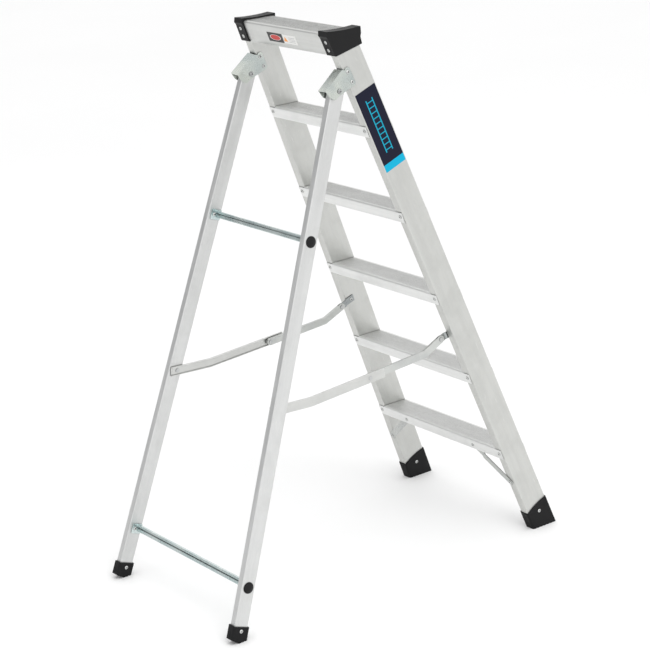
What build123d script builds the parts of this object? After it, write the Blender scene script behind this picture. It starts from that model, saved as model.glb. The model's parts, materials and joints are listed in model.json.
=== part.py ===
"""Swing-back step ladder in aluminium, as separate pieces. Millimetres.

+Z is up, the climbing side faces -Y and the rear frame stands towards +Y.
The origin is on the floor, in the middle of the footprint's box.
The pieces of the right side (+X) are modelled, and those of the left side mirror them.
"""

import os
from math import cos, radians, sin, sqrt, tan

from build123d import *

os.makedirs("parts", exist_ok=True)

# ---------------------------------------------------------------- driving dimensions
# Climbing frame
tread_pitch = 240.0
first_tread_height = 258.5
tread_count = 5
front_lean = 20.13
front_foot_width = 572.5
front_taper = 0.061
stile_depth = 75.0
stile_width = 27.5
stile_wall = 1.8
stile_corner = 3.0

# Rear frame
hinge_drop = 144.4
hinge_setback = 34.5
hinge_side_gap = 3.55
rear_lean = 20.19
rear_foot_spread = 1.9
rear_stile_depth = 40.0
rear_stile_wall = 1.6
rear_stile_corner = 2.5
rear_stile_overrun = 17.0
end_plug_rise = 2.5
end_plug_length = 10.0
end_plug_play = 1.3
end_plug_margin = 0.6
end_plug_edge = 0.8

# Treads
tread_sheet = 2.5
tread_drop = 33.0
tread_knee_drop = 24.0
tread_lip_inset = 1.5
tread_nosing = 5.0
tread_tab_inset = 4.0
tread_notch = 3.5
tread_rivet_drop = 16.0
rib_pitch = 5.0
rib_width = 2.4
rib_height = 0.9
rib_edge_gap = 1.5
tread_rib_end_gap = 1.0
platform_rib_end_gap = 3.2

# Top platform and its caps
platform_rise = 5.5
platform_sheet = 3.0
platform_rear_drop = 58.0
platform_front_drop = 30.0
platform_overhang = 11.0
platform_end_inset = 2.0
cap_side_wall = 2.8
cap_rear_wall = 4.6
cap_lip = 2.7
cap_lean = 3.2
cap_front_wall = 5.5
cap_drop = 62.0
cap_rise = 5.0
cap_corner = 1.4
cap_neck_drop = 17.0
cap_lip_drop = 11.0
cap_rear_peak = 2.0
cap_front_peak = 1.0
cap_nose_drop = 16.0
cap_shoulder_drop = 25.0
cap_shoulder_setback = 2.5
cap_front_drop = 43.0
cap_foot_rise = 1.0
cap_middle_drop = 30.0
cap_rivet_drops = (22.0, 43.0)
cap_rivet_sink = 1.0

# Hinge brackets; places are distances up the stile from the hinge and depths from its rear face.
# Those of the web and the cheeks' heads are counted from a rear stile's half depth up.
bracket_sheet = 2.5
bracket_web_top = (23.5, -3.5)
bracket_web_foot = (0.5, -72.0)
bracket_heel = (-0.5, -67.0)
bracket_toe = (-14.0, -57.0)
bracket_throat = (-10.0, -33.0)
bracket_cheek_foot = (-10.0, 20.0)
bracket_cheek_head = (20.0, 19.0)
bracket_cheek_shoulder = (22.5, 9.0)
bracket_cheek_corner = (18.0, 3.0)
bracket_rivets = [(30.0, 9.5), (1.5, 10.0)]
bracket_toe_round = 7.0
bracket_heel_round = 4.0
bracket_mouth_inset = 4.0
hinge_pin_radius = 4.0
hinge_pin_head_radius = 6.0
hinge_pin_head = 2.2
hinge_pin_edge = 0.9
head_clearance = 0.1
running_clearance = 0.05
washer_radius = 9.0
washer_thickness = 2.0

# Boots
boot_wall = 3.0
boot_base = 8.0
front_boot_height = 60.0
front_boot_rim_fall = 10.5
front_boot_rim_bow = 2.3
front_boot_rim_middle = 0.27
front_boot_rivet_rise = 37.5
front_groove_count = 6
rear_boot_wall = 3.4
rear_boot_end_wall = 5.0
rear_boot_height = 42.0
heel_rise = 15.0
heel_run = 27.0
rear_boot_rivet_rise = 31.0
rear_groove_count = 2
rear_groove_inset = 12.0
sole_groove = 1.5
sole_groove_width = 3.0

# Stays
stay_drop_front = 765.0
stay_standoff = 22.0
stay_drop_rear = 813.5
stay_forward = 5.0
elbow_sag = 19.0
front_bar_height = 20.0
front_bar_width = 6.4
front_bar_offset = 1.2
front_bend_along = 63.0
front_bend_drop = 17.0
rear_bar_height = 25.0
rear_bar_width = 4.8
rear_bar_sheet = 1.8
rear_bar_offset = 0.8
rear_bend_along = 107.0
rear_bend_drop = 8.0
rear_bar_tail = 20.0
rear_bar_lap = 47.0
lug_sheet = 2.4
lug_height = 19.0
lug_joggle = 3.0
lug_reach = 27.0
lug_rivet_depth = 17.0
lug_bend_start = 1.5
lug_bend_run = 5.0
lug_bend_shift = 1.0
fork_clearance = 0.35
fork_reach = 4.0
stay_pin_radius = 3.2
stay_pin_head_radius = 5.5
stay_pin_head = 1.2
stay_pin_play = 0.1
elbow_head = 0.45
elbow_recess = 0.3

# Crossbars
upper_crossbar_drop = 381.0
lower_crossbar_rise = 142.5
crossbar_height = 17.5
crossbar_depth = 12.0
crossbar_sheet = 1.6
crossbar_corner = 2.0
crossbar_inner_corner = 0.6
crossbar_slot = 2.8
crossbar_slot_rise = 1.4
crossbar_rivet_back = 2.0
crossbar_front_gap = 1.0
crossbar_tab_sheet = 2.0
crossbar_tab_height = 28.0
crossbar_tab_length = 31.0
crossbar_tab_corner = 3.0
plug_radius = 15.0
plug_rise = 4.5
plug_rim = 0.8
plug_stem_radius = 8.0
plug_stem_length = 6.0

# Bottom tread braces
brace_sheet = 2.5
brace_width = 19.0
brace_span = 114.0
brace_top_drop = 18.0
brace_foot_height = 152.0
brace_foot_inset = 17.0
brace_end = 8.0
brace_joggle_start = 40.0
brace_joggle_run = 7.0
brace_bend_shift = 1.0
brace_corner = 4.0

# Rivets
rivet_head_radius = 5.0
rivet_head_height = 2.0
rivet_shank_radius = 2.4
rivet_tail_radius = 3.4
rivet_tail_length = 3.5
rivet_mandrel_radius = 1.8
drill_overshoot = 0.6
least_corner = 0.6

# Labels
label_thickness = 0.35
side_label_drop = 260.1
side_label_length = 224.0
rear_label_length = 124.0
rear_label_height = 26.0
rear_label_lift = 27.0
rear_label_shift = 12.0

# ---------------------------------------------------------------- derived geometry
platform_height = first_tread_height + tread_count * tread_pitch + platform_rise
hinge_height = platform_height - hinge_drop
rear_foot_width = front_foot_width + rear_foot_spread
rear_stile_width = stile_width - 2 * hinge_side_gap
front_slope = tan(radians(front_lean))
rear_slope = tan(radians(rear_lean))
front_cos = cos(radians(front_lean))
front_sin = sin(radians(front_lean))
rear_cos = cos(radians(rear_lean))
rear_sin = sin(radians(rear_lean))
front_level_depth = stile_depth / front_cos
rear_level_depth = rear_stile_depth / rear_cos

# Level distances behind the front stile's rear face at the floor
hinge_reach = hinge_height * front_slope + hinge_setback / front_cos
rear_foot_reach = hinge_reach + hinge_height * rear_slope
foremost = -(front_level_depth + boot_wall / front_cos)
heel_back = rear_foot_reach + rear_level_depth / 2 + rear_boot_end_wall / rear_cos
rearmost = heel_back - heel_rise * rear_slope
stile_foot_y = -(foremost + rearmost) / 2
hinge_y = stile_foot_y + hinge_reach

# The rear stiles hang midway between the cheeks of the hinge brackets
hinge_middle_x = front_foot_width / 2 - front_taper * hinge_height - stile_width / 2
rear_half_at_hinge = hinge_middle_x + rear_stile_width / 2
rear_taper = (rear_foot_width / 2 - rear_half_at_hinge) / hinge_height

front_norm = sqrt(1 + front_taper**2)
rear_norm = sqrt(1 + rear_taper**2)
front_inner_lift = -stile_width / front_norm
rear_inner_lift = -rear_stile_width / rear_norm
hinge_along = (hinge_height + hinge_setback * front_sin) / front_cos
stile_top = platform_height - platform_sheet
rivet_grip = max(bracket_sheet, tread_sheet, brace_sheet) + stile_wall
brace_grip = tread_sheet + brace_sheet
cap_grip = cap_rear_wall - cap_rivet_sink
side_label_foot = hinge_along - side_label_drop

front_climb = Vector(-front_taper, front_slope, 1)
rear_climb = Vector(-rear_taper, -rear_slope, 1)


def front_half(z):
    """Half of the climbing frame's outside width at height z."""
    return front_foot_width / 2 - front_taper * z


def rear_half(z):
    """Half of the rear frame's outside width at height z."""
    return rear_foot_width / 2 - rear_taper * z


def front_yz(along, depth):
    """Place by distance up the front stile and depth from its rear face towards the climber."""
    y = stile_foot_y + along * front_sin - depth * front_cos
    z = along * front_cos + depth * front_sin
    return (y, z)


def rear_yz(drop, back):
    """Place by distance down the rear stile from the hinge and distance behind its centre line."""
    y = hinge_y + drop * rear_sin + back * rear_cos
    z = hinge_height - drop * rear_cos + back * rear_sin
    return (y, z)


def on_front(along, depth):
    """A place on a front stile's side face, in that face's own axes."""
    y, z = front_yz(along, depth)
    return (y, z * front_norm)


def on_rear(drop, back):
    """A place on a rear stile's side face, in that face's own axes."""
    y, z = rear_yz(drop, back)
    return (y, z * rear_norm)


def front_side(lift=0.0):
    """Plane of the right front stile's outer face; its z points away from the ladder."""
    face = Plane((front_foot_width / 2, 0, 0), x_dir=(0, 1, 0), z_dir=(1, 0, front_taper))
    return face.offset(lift)


def rear_side(lift=0.0):
    """Plane of the right rear stile's outer face; its z points away from the ladder."""
    face = Plane((rear_foot_width / 2, 0, 0), x_dir=(0, 1, 0), z_dir=(1, 0, rear_taper))
    return face.offset(lift)


def side_spot(plane, place, outward=True):
    """Plane for a fastener at a place on a side plane, with z out of the joint."""
    origin = plane.from_local_coords((place[0], place[1], 0))
    normal = plane.z_dir if outward else plane.z_dir * -1
    return Plane(origin, x_dir=(0, 1, 0), z_dir=normal)


def frame_spot(x, along, depth, facing=-1):
    """Plane for a fastener on a face of the climbing frame; facing -1 is the rear."""
    y, z = front_yz(along, depth)
    normal = (0, -facing * front_cos, facing * front_sin)
    return Plane((x, y, z), x_dir=(1, 0, 0), z_dir=normal)


def mirrored_spots(spots):
    """The same fastener planes on the ladder's left side."""
    return [
        Plane(
            (-spot.origin.X, spot.origin.Y, spot.origin.Z),
            x_dir=(-spot.x_dir.X, spot.x_dir.Y, spot.x_dir.Z),
            z_dir=(-spot.z_dir.X, spot.z_dir.Y, spot.z_dir.Z),
        )
        for spot in spots
    ]


def along_at(z, depth):
    """Distance up the front stile of a point at height z and the given depth."""
    return (z - depth * front_sin) / front_cos


def climb_prism(climb, base, top):
    """Extrusion settings along a leaning stile between two heights."""
    return {"amount": (top - base) * climb.length, "dir": climb.normalized()}


def stile_section(z, grow=0.0):
    """Outline of the right front stile in the level plane at height z, grown all round."""
    x = front_half(z) - stile_width / 2
    y = stile_foot_y + z * front_slope - front_level_depth / 2
    with Locations((x, y)):
        RectangleRounded(
            stile_width + 2 * grow,
            front_level_depth + 2 * grow / front_cos,
            max(stile_corner + grow, least_corner),
        )


def rear_section(z, grow=0.0, grow_ends=None):
    """Outline of the right rear stile in the level plane at height z, grown sideways and endways."""
    x = rear_half(z) - rear_stile_width / 2
    y = hinge_y + (hinge_height - z) * rear_slope
    ends = grow if grow_ends is None else grow_ends
    with Locations((x, y)):
        RectangleRounded(
            rear_stile_width + 2 * grow,
            rear_level_depth + 2 * ends / rear_cos,
            max(rear_stile_corner + grow, least_corner),
        )


def drill(spots, radius=rivet_shank_radius, grip=rivet_grip):
    """Cut a hole through the sheets on both sides of each plane."""
    with Locations(*spots):
        Cylinder(radius, 2 * grip + drill_overshoot, mode=Mode.SUBTRACT)


def rivet_group(spots, grip=rivet_grip, tail=True):
    """A domed blind rivet at each plane, with its mandrel hole."""
    with BuildPart() as blank:
        with BuildSketch(Plane.XZ):
            with BuildLine():
                Polyline(
                    (rivet_shank_radius, 0),
                    (rivet_head_radius, 0),
                    (rivet_head_radius, rivet_head_height * 0.3),
                )
                ThreePointArc(
                    (rivet_head_radius, rivet_head_height * 0.3),
                    (rivet_head_radius * 0.72, rivet_head_height * 0.84),
                    (rivet_mandrel_radius, rivet_head_height),
                )
                Polyline(
                    (rivet_mandrel_radius, rivet_head_height),
                    (rivet_mandrel_radius, rivet_head_height * 0.3),
                    (0, rivet_head_height * 0.3),
                    (0, -grip),
                    (rivet_shank_radius, -grip),
                    (rivet_shank_radius, 0),
                )
            make_face()
        revolve(axis=Axis.Z)
        if tail:
            with BuildSketch(Plane.XY.offset(-grip)):
                Circle(rivet_tail_radius)
            extrude(amount=-rivet_tail_length)
    with BuildPart() as rivets:
        with Locations(*spots):
            add(blank.part)
    return rivets.part


def save(piece, name):
    """Label a finished piece and write it to its own file."""
    piece.label = name
    export_step(piece, f"parts/{name}.step")


# ---------------------------------------------------------------- fastener places
tread_tops = [first_tread_height + k * tread_pitch for k in range(tread_count)]


def tread_rivet_spots(top):
    """Rivets through the four tabs of the tread at this height."""
    z = top - tread_rivet_drop
    x = front_half(z) - stile_width / 2
    rear = frame_spot(x, along_at(z, -tread_sheet), -tread_sheet)
    front = frame_spot(x, along_at(z, stile_depth + tread_sheet), stile_depth + tread_sheet, 1)
    return [rear, front]


tread_spots = [spot for top in tread_tops for spot in tread_rivet_spots(top)]

# Bracket rivets: two through each cheek
bracket_places = [(hinge_along + rise, depth) for rise, depth in bracket_rivets]
bracket_spots = [side_spot(front_side(bracket_sheet), on_front(*p)) for p in bracket_places]
bracket_spots += [
    side_spot(front_side(front_inner_lift - bracket_sheet), on_front(*p), False)
    for p in bracket_places
]

boot_spots = [
    side_spot(front_side(boot_wall), on_front(front_boot_rivet_rise, stile_depth / 2)),
    side_spot(
        front_side(front_inner_lift - boot_wall),
        on_front(front_boot_rivet_rise, stile_depth / 2),
        False,
    ),
]
rear_sole_drop = hinge_height / rear_cos
rear_boot_rivet_drop = rear_sole_drop - rear_boot_rivet_rise
rear_boot_spots = [
    side_spot(rear_side(rear_boot_wall), on_rear(rear_boot_rivet_drop, 0)),
    side_spot(rear_side(rear_inner_lift - rear_boot_wall), on_rear(rear_boot_rivet_drop, 0), False),
]

front_stay_along = hinge_along - stay_drop_front
front_stay_place = on_front(front_stay_along, -stay_standoff)
rear_stay_place = on_rear(stay_drop_rear, -stay_forward)
rear_pin_spot = side_spot(rear_side(rear_inner_lift), rear_stay_place, False)
lug_spots = [
    side_spot(
        front_side(front_inner_lift - lug_sheet), on_front(front_stay_along, lug_rivet_depth), False
    )
]

crossbar_drops = {"upper": upper_crossbar_drop, "lower": rear_sole_drop - lower_crossbar_rise}
crossbar_spots = [
    side_spot(rear_side(rear_inner_lift - crossbar_tab_sheet), on_rear(drop, crossbar_rivet_back), False)
    for drop in crossbar_drops.values()
]
plug_spots = [side_spot(rear_side(), on_rear(drop, 0)) for drop in crossbar_drops.values()]

brace_top_along = along_at(first_tread_height - brace_top_drop, 0)
brace_foot_along = along_at(brace_foot_height, 0)
brace_foot_half = front_half(brace_foot_height) - brace_foot_inset
brace_foot_spots = [frame_spot(brace_foot_half, brace_foot_along, -brace_sheet)]
brace_top_half = brace_foot_half - brace_span
brace_top_spots = [frame_spot(brace_top_half, brace_top_along, -tread_sheet)]

cap_inner_half = front_half(platform_height - cap_middle_drop) - stile_width - cap_side_wall
cap_rivet_half = front_half(platform_height - cap_middle_drop) - stile_width / 2
cap_rear_depth = -(platform_sheet + cap_rear_wall)
cap_spots = [
    frame_spot(cap_rivet_half, along_at(platform_height - drop, cap_rear_depth), cap_rear_depth)
    for drop in cap_rivet_drops
]

# ---------------------------------------------------------------- front stiles
with BuildPart() as stile_blank:
    # Solid envelope of the right front stile, for cutting what fits around it
    with BuildSketch(Plane.XY.offset(boot_base)):
        stile_section(boot_base)
    extrude(**climb_prism(front_climb, boot_base, stile_top))

with BuildPart() as front_stile_right:
    add(stile_blank.part)
    with BuildSketch(Plane.XY.offset(boot_base - 1)):
        stile_section(boot_base - 1, -stile_wall)
    extrude(**climb_prism(front_climb, boot_base - 1, stile_top + 1), mode=Mode.SUBTRACT)
    drill(tread_spots)
    drill(bracket_spots)
    drill(boot_spots, grip=boot_wall + stile_wall)
    drill(lug_spots, grip=lug_sheet + stile_wall)
    drill(brace_foot_spots)

with BuildPart() as front_stile_left:
    mirror(front_stile_right.part, about=Plane.YZ)

save(front_stile_right.part, "front_stile_right")
save(front_stile_left.part, "front_stile_left")


# ---------------------------------------------------------------- treads and platform
def rear_face(z, proud=0.0):
    """Level place of the front stile's rear face at height z, or of a sheet proud of it."""
    return stile_foot_y + z * front_slope + proud / front_cos


def front_face(z, proud=0.0):
    """Level place of the front stile's front face at height z, or of a sheet proud of it."""
    return stile_foot_y + z * front_slope - front_level_depth - proud / front_cos


def channel_outline(top, sheet, rear_drop, front_drop, front_place):
    """Side outline of a downward channel whose lower lips lean inwards below a knee."""
    level = sheet / front_cos
    lip = tread_drop - tread_knee_drop
    rear_foot = top - rear_drop
    front_foot = top - front_drop
    return [
        (rear_face(top, sheet), top),
        (rear_face(rear_foot + lip, sheet), rear_foot + lip),
        (rear_face(rear_foot, sheet - tread_lip_inset), rear_foot),
        (rear_face(rear_foot, sheet) - level, rear_foot),
        (rear_face(top - sheet, sheet) - level, top - sheet),
        (front_place(top - sheet) + level, top - sheet),
        (front_place(front_foot) + level, front_foot),
        (front_place(front_foot) + tread_lip_inset, front_foot),
        (front_place(front_foot + lip), front_foot + lip),
        (front_place(top), top),
    ]


def channel_solid(outline, half_length):
    """Extrude a channel outline across the ladder, with its top edges rounded."""
    with BuildSketch(Plane.YZ) as section:
        with BuildLine():
            Polyline(*outline, close=True)
        make_face()
        fillet(section.vertices().group_by(Axis.Y)[-1], tread_nosing)
    extrude(section.sketch, amount=half_length, both=True)


def ribs(top, front_y, rear_y, half_length):
    """Fine ribs along a standing surface."""
    count = int((rear_y - front_y) / rib_pitch)
    with BuildSketch(Plane.YZ) as section:
        with Locations(((front_y + rear_y) / 2, top)):
            with GridLocations(rib_pitch, 1, count, 1):
                Trapezoid(rib_width, 2 * rib_height, 70)
    extrude(section.sketch, amount=half_length, both=True)


def tread(top):
    """One tread: ribbed channel with tabs that lap the stile faces."""
    inner_half = front_half(top) - stile_width
    tab_half = front_half(top - tread_drop / 2) - tread_tab_inset
    outline = channel_outline(
        top, tread_sheet, tread_drop, tread_drop, lambda z: front_face(z, tread_sheet)
    )
    rib_margin = tread_nosing + rib_edge_gap
    with BuildPart() as piece:
        channel_solid(outline, tab_half)
        ribs(
            top,
            front_face(top, tread_sheet) + rib_margin,
            rear_face(top, tread_sheet) - rib_margin,
            inner_half - tread_rib_end_gap,
        )
        add(stile_blank.part, mode=Mode.SUBTRACT)
        mirror(stile_blank.part, about=Plane.YZ, mode=Mode.SUBTRACT)
        # The tabs start a little below the standing surface
        with BuildSketch(Plane.XZ.offset(-front_face(top))):
            with Locations((inner_half + stile_width, top), (-inner_half - stile_width, top)):
                Rectangle(2 * stile_width, 2 * tread_notch)
        extrude(amount=2 * stile_depth, both=True, mode=Mode.SUBTRACT)
        drill(tread_rivet_spots(top))
        drill(mirrored_spots(tread_rivet_spots(top)))
        if top == first_tread_height:
            drill(brace_top_spots + mirrored_spots(brace_top_spots), grip=brace_grip)
    return piece.part


for number, height in enumerate(tread_tops, start=1):
    save(tread(height), f"tread_{number}")

platform_front_y = front_face(platform_height, platform_sheet + platform_overhang)
platform_half = front_half(platform_height) - platform_end_inset
platform_outline = channel_outline(
    platform_height,
    platform_sheet,
    platform_rear_drop,
    platform_front_drop,
    lambda z: platform_front_y,
)

with BuildPart() as platform_blank:
    channel_solid(platform_outline, platform_half)

with BuildPart() as top_platform:
    add(platform_blank.part)
    ribs(
        platform_height,
        platform_front_y + tread_nosing + rib_edge_gap,
        rear_face(platform_height, platform_sheet) - tread_nosing - rib_edge_gap,
        cap_inner_half - platform_rib_end_gap,
    )
    add(stile_blank.part, mode=Mode.SUBTRACT)
    mirror(stile_blank.part, about=Plane.YZ, mode=Mode.SUBTRACT)
save(top_platform.part, "top_platform")

# ---------------------------------------------------------------- platform caps
cap_top = platform_height + cap_rise
cap_foot = cap_top - cap_drop


def cap_rear(z, out=0.0):
    """Place on the cap's rear face at height z, moved out by a lip, in the side face's axes."""
    return (rear_face(z, platform_sheet + cap_rear_wall + out), z * front_norm)


def cap_front(z, out=0.0):
    """Place on the cap's front face at height z, moved out by a lip, in the side face's axes."""
    return (platform_front_y - cap_front_wall - out, z * front_norm)


with BuildPart() as platform_cap_right:
    with BuildSketch(front_side(cap_side_wall)) as cap_outline:
        with BuildLine():
            back = Polyline(
                cap_rear(cap_foot),
                cap_rear(cap_top - cap_neck_drop),
                cap_rear(cap_top - cap_lip_drop, cap_lip),
                cap_rear(cap_top + cap_rear_peak, -cap_lean),
            )
            saddle = ThreePointArc(
                back @ 1,
                ((rear_face(cap_top) + platform_front_y) / 2, (cap_top - cap_front_peak) * front_norm),
                cap_front(cap_top + cap_front_peak),
            )
            Polyline(
                saddle @ 1,
                cap_front(cap_top - cap_nose_drop),
                cap_front(cap_top - cap_shoulder_drop, cap_shoulder_setback - cap_front_wall),
                cap_front(cap_top - cap_front_drop),
                cap_rear(cap_foot - cap_foot_rise, -cap_lean),
                back @ 0,
            )
        make_face()
        fillet(cap_outline.vertices(), cap_corner)
    extrude(amount=stile_width + 2 * cap_side_wall * front_norm, dir=(-1, 0, 0))
    add(stile_blank.part, mode=Mode.SUBTRACT)
    add(platform_blank.part, mode=Mode.SUBTRACT)
    drill(cap_spots, grip=cap_grip)

with BuildPart() as platform_cap_left:
    mirror(platform_cap_right.part, about=Plane.YZ)
save(platform_cap_right.part, "platform_cap_right")
save(platform_cap_left.part, "platform_cap_left")


# ---------------------------------------------------------------- hinge brackets
def by_hinge(place, above=0.0):
    """Place on the bracket in the front stile's own distances, counted from above the hinge."""
    return (hinge_along + above + place[0], place[1])


rear_stile_half = rear_stile_depth / 2
web_top = by_hinge(bracket_web_top, rear_stile_half)
web_foot = by_hinge(bracket_web_foot, rear_stile_half)
bracket_outline = [
    web_top,
    web_foot,
    by_hinge(bracket_heel),
    by_hinge(bracket_toe),
    by_hinge(bracket_throat),
    by_hinge(bracket_cheek_foot),
    by_hinge(bracket_cheek_head, rear_stile_half),
    by_hinge(bracket_cheek_shoulder, rear_stile_half),
    by_hinge(bracket_cheek_corner, rear_stile_half),
]
web_run = Vector(web_foot[0] - web_top[0], web_foot[1] - web_top[1]).normalized()


def below_web(place):
    """Move a bracket place square to the web, onto its inner face."""
    return (place[0] + web_run.Y * bracket_sheet, place[1] - web_run.X * bracket_sheet)


hinge_axes = [
    Plane((side * hinge_middle_x, hinge_y, hinge_height), x_dir=(0, 1, 0), z_dir=(1, 0, 0))
    for side in (-1, 1)
]

with BuildPart() as hinge_bracket_right:
    with BuildSketch(front_side(bracket_sheet)) as cheek:
        with BuildLine():
            Polyline(*[on_front(*place) for place in bracket_outline], close=True)
        make_face()
        fillet(cheek.vertices().sort_by(Axis.X)[0:2], bracket_toe_round)
        fillet(cheek.vertices().sort_by(Axis.Y)[0], bracket_heel_round)
    extrude(amount=-(stile_width / front_norm + 2 * bracket_sheet))
    # Opening between the cheeks, up to the inside of the web
    with BuildSketch(front_side()):
        with BuildLine():
            Polyline(
                on_front(*below_web(web_top)),
                on_front(*below_web(web_foot)),
                on_front(web_foot[0] - bracket_mouth_inset, 2 * web_foot[1]),
                on_front(hinge_along - stile_depth, 2 * web_foot[1]),
                on_front(hinge_along - stile_depth, stile_depth),
                on_front(hinge_along + stile_depth, stile_depth),
                on_front(hinge_along + stile_depth, 0.0),
                on_front(web_top[0], 0.0),
                close=True,
            )
        make_face()
    extrude(amount=-stile_width / front_norm, mode=Mode.SUBTRACT)
    drill(bracket_spots)
    with Locations(hinge_axes[1]):
        Cylinder(hinge_pin_radius, 3 * stile_width, mode=Mode.SUBTRACT)

with BuildPart() as hinge_bracket_left:
    mirror(hinge_bracket_right.part, about=Plane.YZ)
save(hinge_bracket_right.part, "hinge_bracket_right")
save(hinge_bracket_left.part, "hinge_bracket_left")

# The pins lie on the common hinge axis, so their heads stand a little off the tapered cheeks
head_stand_off = hinge_pin_head_radius * front_taper + head_clearance
pin_half = stile_width / 2 + bracket_sheet + head_stand_off

with BuildPart() as hinge_pin:
    Cylinder(hinge_pin_radius, 2 * pin_half)
    for side in (-1, 1):
        with Locations((0, 0, side * (pin_half + hinge_pin_head / 2))):
            Cylinder(hinge_pin_head_radius, hinge_pin_head)
    chamfer(hinge_pin.edges().filter_by(GeomType.CIRCLE).group_by(Axis.Z)[-1], hinge_pin_edge)
    chamfer(hinge_pin.edges().filter_by(GeomType.CIRCLE).group_by(Axis.Z)[0], hinge_pin_edge)

with BuildPart() as hinge_pins:
    with Locations(*hinge_axes):
        add(hinge_pin.part)
save(hinge_pins.part, "hinge_pins")

# Washers fill the gaps between the cheeks and the rear stiles
washer_shift = (stile_width + rear_stile_width) / 4
with BuildPart() as hinge_washers:
    for axis in hinge_axes:
        with Locations(axis.offset(-washer_shift), axis.offset(washer_shift)):
            Cylinder(washer_radius, washer_thickness)
            Cylinder(hinge_pin_radius, washer_thickness, mode=Mode.SUBTRACT)
save(hinge_washers.part, "hinge_washers")

# ---------------------------------------------------------------- front boots
with BuildPart() as front_boot_right:
    with BuildSketch(Plane.XY):
        stile_section(0, boot_wall)
    extrude(**climb_prism(front_climb, 0, 2 * front_boot_height))
    add(stile_blank.part, mode=Mode.SUBTRACT)
    # Bowed top edge, highest at the front
    with BuildSketch(Plane.YZ):
        with BuildLine():
            rim = ThreePointArc(
                front_yz(front_boot_height - front_boot_rim_fall, -3 * boot_wall),
                front_yz(front_boot_height - front_boot_rim_bow, stile_depth * front_boot_rim_middle),
                front_yz(front_boot_height, stile_depth + 3 * boot_wall),
            )
            Polyline(
                rim @ 1,
                front_yz(4 * front_boot_height, stile_depth + 3 * boot_wall),
                front_yz(4 * front_boot_height, -3 * boot_wall),
                rim @ 0,
            )
        make_face()
    extrude(amount=front_foot_width, both=True, mode=Mode.SUBTRACT)
    # Grooves across the sole
    with BuildSketch(Plane.XY):
        with Locations((front_half(0) - stile_width / 2, front_face(0) + front_level_depth / 2)):
            with GridLocations(1, 4 * sole_groove_width, 1, front_groove_count):
                Rectangle(2 * stile_width, sole_groove_width)
    extrude(amount=sole_groove, mode=Mode.SUBTRACT)
    drill(boot_spots, grip=boot_wall + stile_wall)

with BuildPart() as front_boot_left:
    mirror(front_boot_right.part, about=Plane.YZ)
save(front_boot_right.part, "front_boot_right")
save(front_boot_left.part, "front_boot_left")

# ---------------------------------------------------------------- bottom tread braces
brace_top_point = Vector(brace_top_half, *front_yz(brace_top_along, 0))
brace_foot_point = Vector(brace_foot_half, *front_yz(brace_foot_along, 0))
brace_run = (brace_foot_point - brace_top_point).length
brace_plane = Plane(
    brace_top_point,
    x_dir=brace_foot_point - brace_top_point,
    z_dir=(brace_foot_point - brace_top_point).cross(Vector(0, front_cos, -front_sin)),
)
joggle_end = brace_joggle_start + brace_joggle_run

with BuildPart() as tread_brace_right:
    # Strap that starts inside the tread's rear flange and ends on the stile's rear face
    with BuildSketch(brace_plane):
        with BuildLine():
            Polyline(
                (-brace_end, 0),
                (brace_joggle_start, 0),
                (joggle_end, brace_sheet),
                (brace_run + brace_end, brace_sheet),
                (brace_run + brace_end, 0),
                (joggle_end + brace_bend_shift, 0),
                (brace_joggle_start + brace_bend_shift, -brace_sheet),
                (-brace_end, -brace_sheet),
                close=True,
            )
        make_face()
    extrude(amount=brace_width / 2, both=True)
    corners = tread_brace_right.edges().filter_by(Axis((0, 0, 0), (0, front_cos, -front_sin)))
    fillet(corners.group_by(Axis.X)[0], brace_corner)
    drill(brace_foot_spots)
    drill(brace_top_spots, grip=brace_grip)

with BuildPart() as tread_brace_left:
    mirror(tread_brace_right.part, about=Plane.YZ)
save(tread_brace_right.part, "tread_brace_right")
save(tread_brace_left.part, "tread_brace_left")

# ---------------------------------------------------------------- rear stiles
heel_y = stile_foot_y + heel_back


def below_heel(base):
    """Side outline of the space under the raised heel, a base thickness above the sole."""
    with BuildSketch(Plane.YZ) as space:
        with BuildLine():
            Polyline(
                (heel_y - heel_run, base),
                (heel_y - heel_rise * rear_slope, heel_rise + base),
                (heel_y + heel_run, heel_rise + base),
                (heel_y + heel_run, base - heel_rise),
                (heel_y - heel_run, base - heel_rise),
                close=True,
            )
        make_face()
    extrude(space.sketch, amount=rear_foot_width, both=True, mode=Mode.SUBTRACT)


with BuildPart() as rear_blank:
    # Solid envelope of the right rear stile, square at the top and cut to the boot at the foot
    with BuildSketch(Plane.XY.offset(boot_base)):
        rear_section(boot_base)
    extrude(**climb_prism(rear_climb, boot_base, hinge_height + 2 * rear_stile_depth))
    with BuildSketch(Plane.YZ):
        with BuildLine():
            Polyline(
                rear_yz(-rear_stile_overrun, -rear_stile_depth),
                rear_yz(-rear_stile_overrun, rear_stile_depth),
                rear_yz(-rear_stile_overrun - 3 * rear_stile_depth, rear_stile_depth),
                rear_yz(-rear_stile_overrun - 3 * rear_stile_depth, -rear_stile_depth),
                close=True,
            )
        make_face()
    extrude(amount=rear_foot_width, both=True, mode=Mode.SUBTRACT)
    below_heel(boot_base)

with BuildPart() as rear_stile_right:
    add(rear_blank.part)
    with BuildSketch(Plane.XY.offset(boot_base - 1)):
        rear_section(boot_base - 1, -rear_stile_wall)
    extrude(
        **climb_prism(rear_climb, boot_base - 1, hinge_height + 3 * rear_stile_depth),
        mode=Mode.SUBTRACT,
    )
    drill(crossbar_spots, grip=crossbar_tab_sheet + rear_stile_wall)
    drill(rear_boot_spots, grip=rear_boot_wall + rear_stile_wall)
    drill(plug_spots, radius=plug_stem_radius, grip=rear_stile_wall)
    drill([rear_pin_spot], radius=stay_pin_radius, grip=rear_stile_wall)
    with Locations(hinge_axes[1]):
        Cylinder(hinge_pin_radius + running_clearance, 2 * rear_stile_width, mode=Mode.SUBTRACT)

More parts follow.
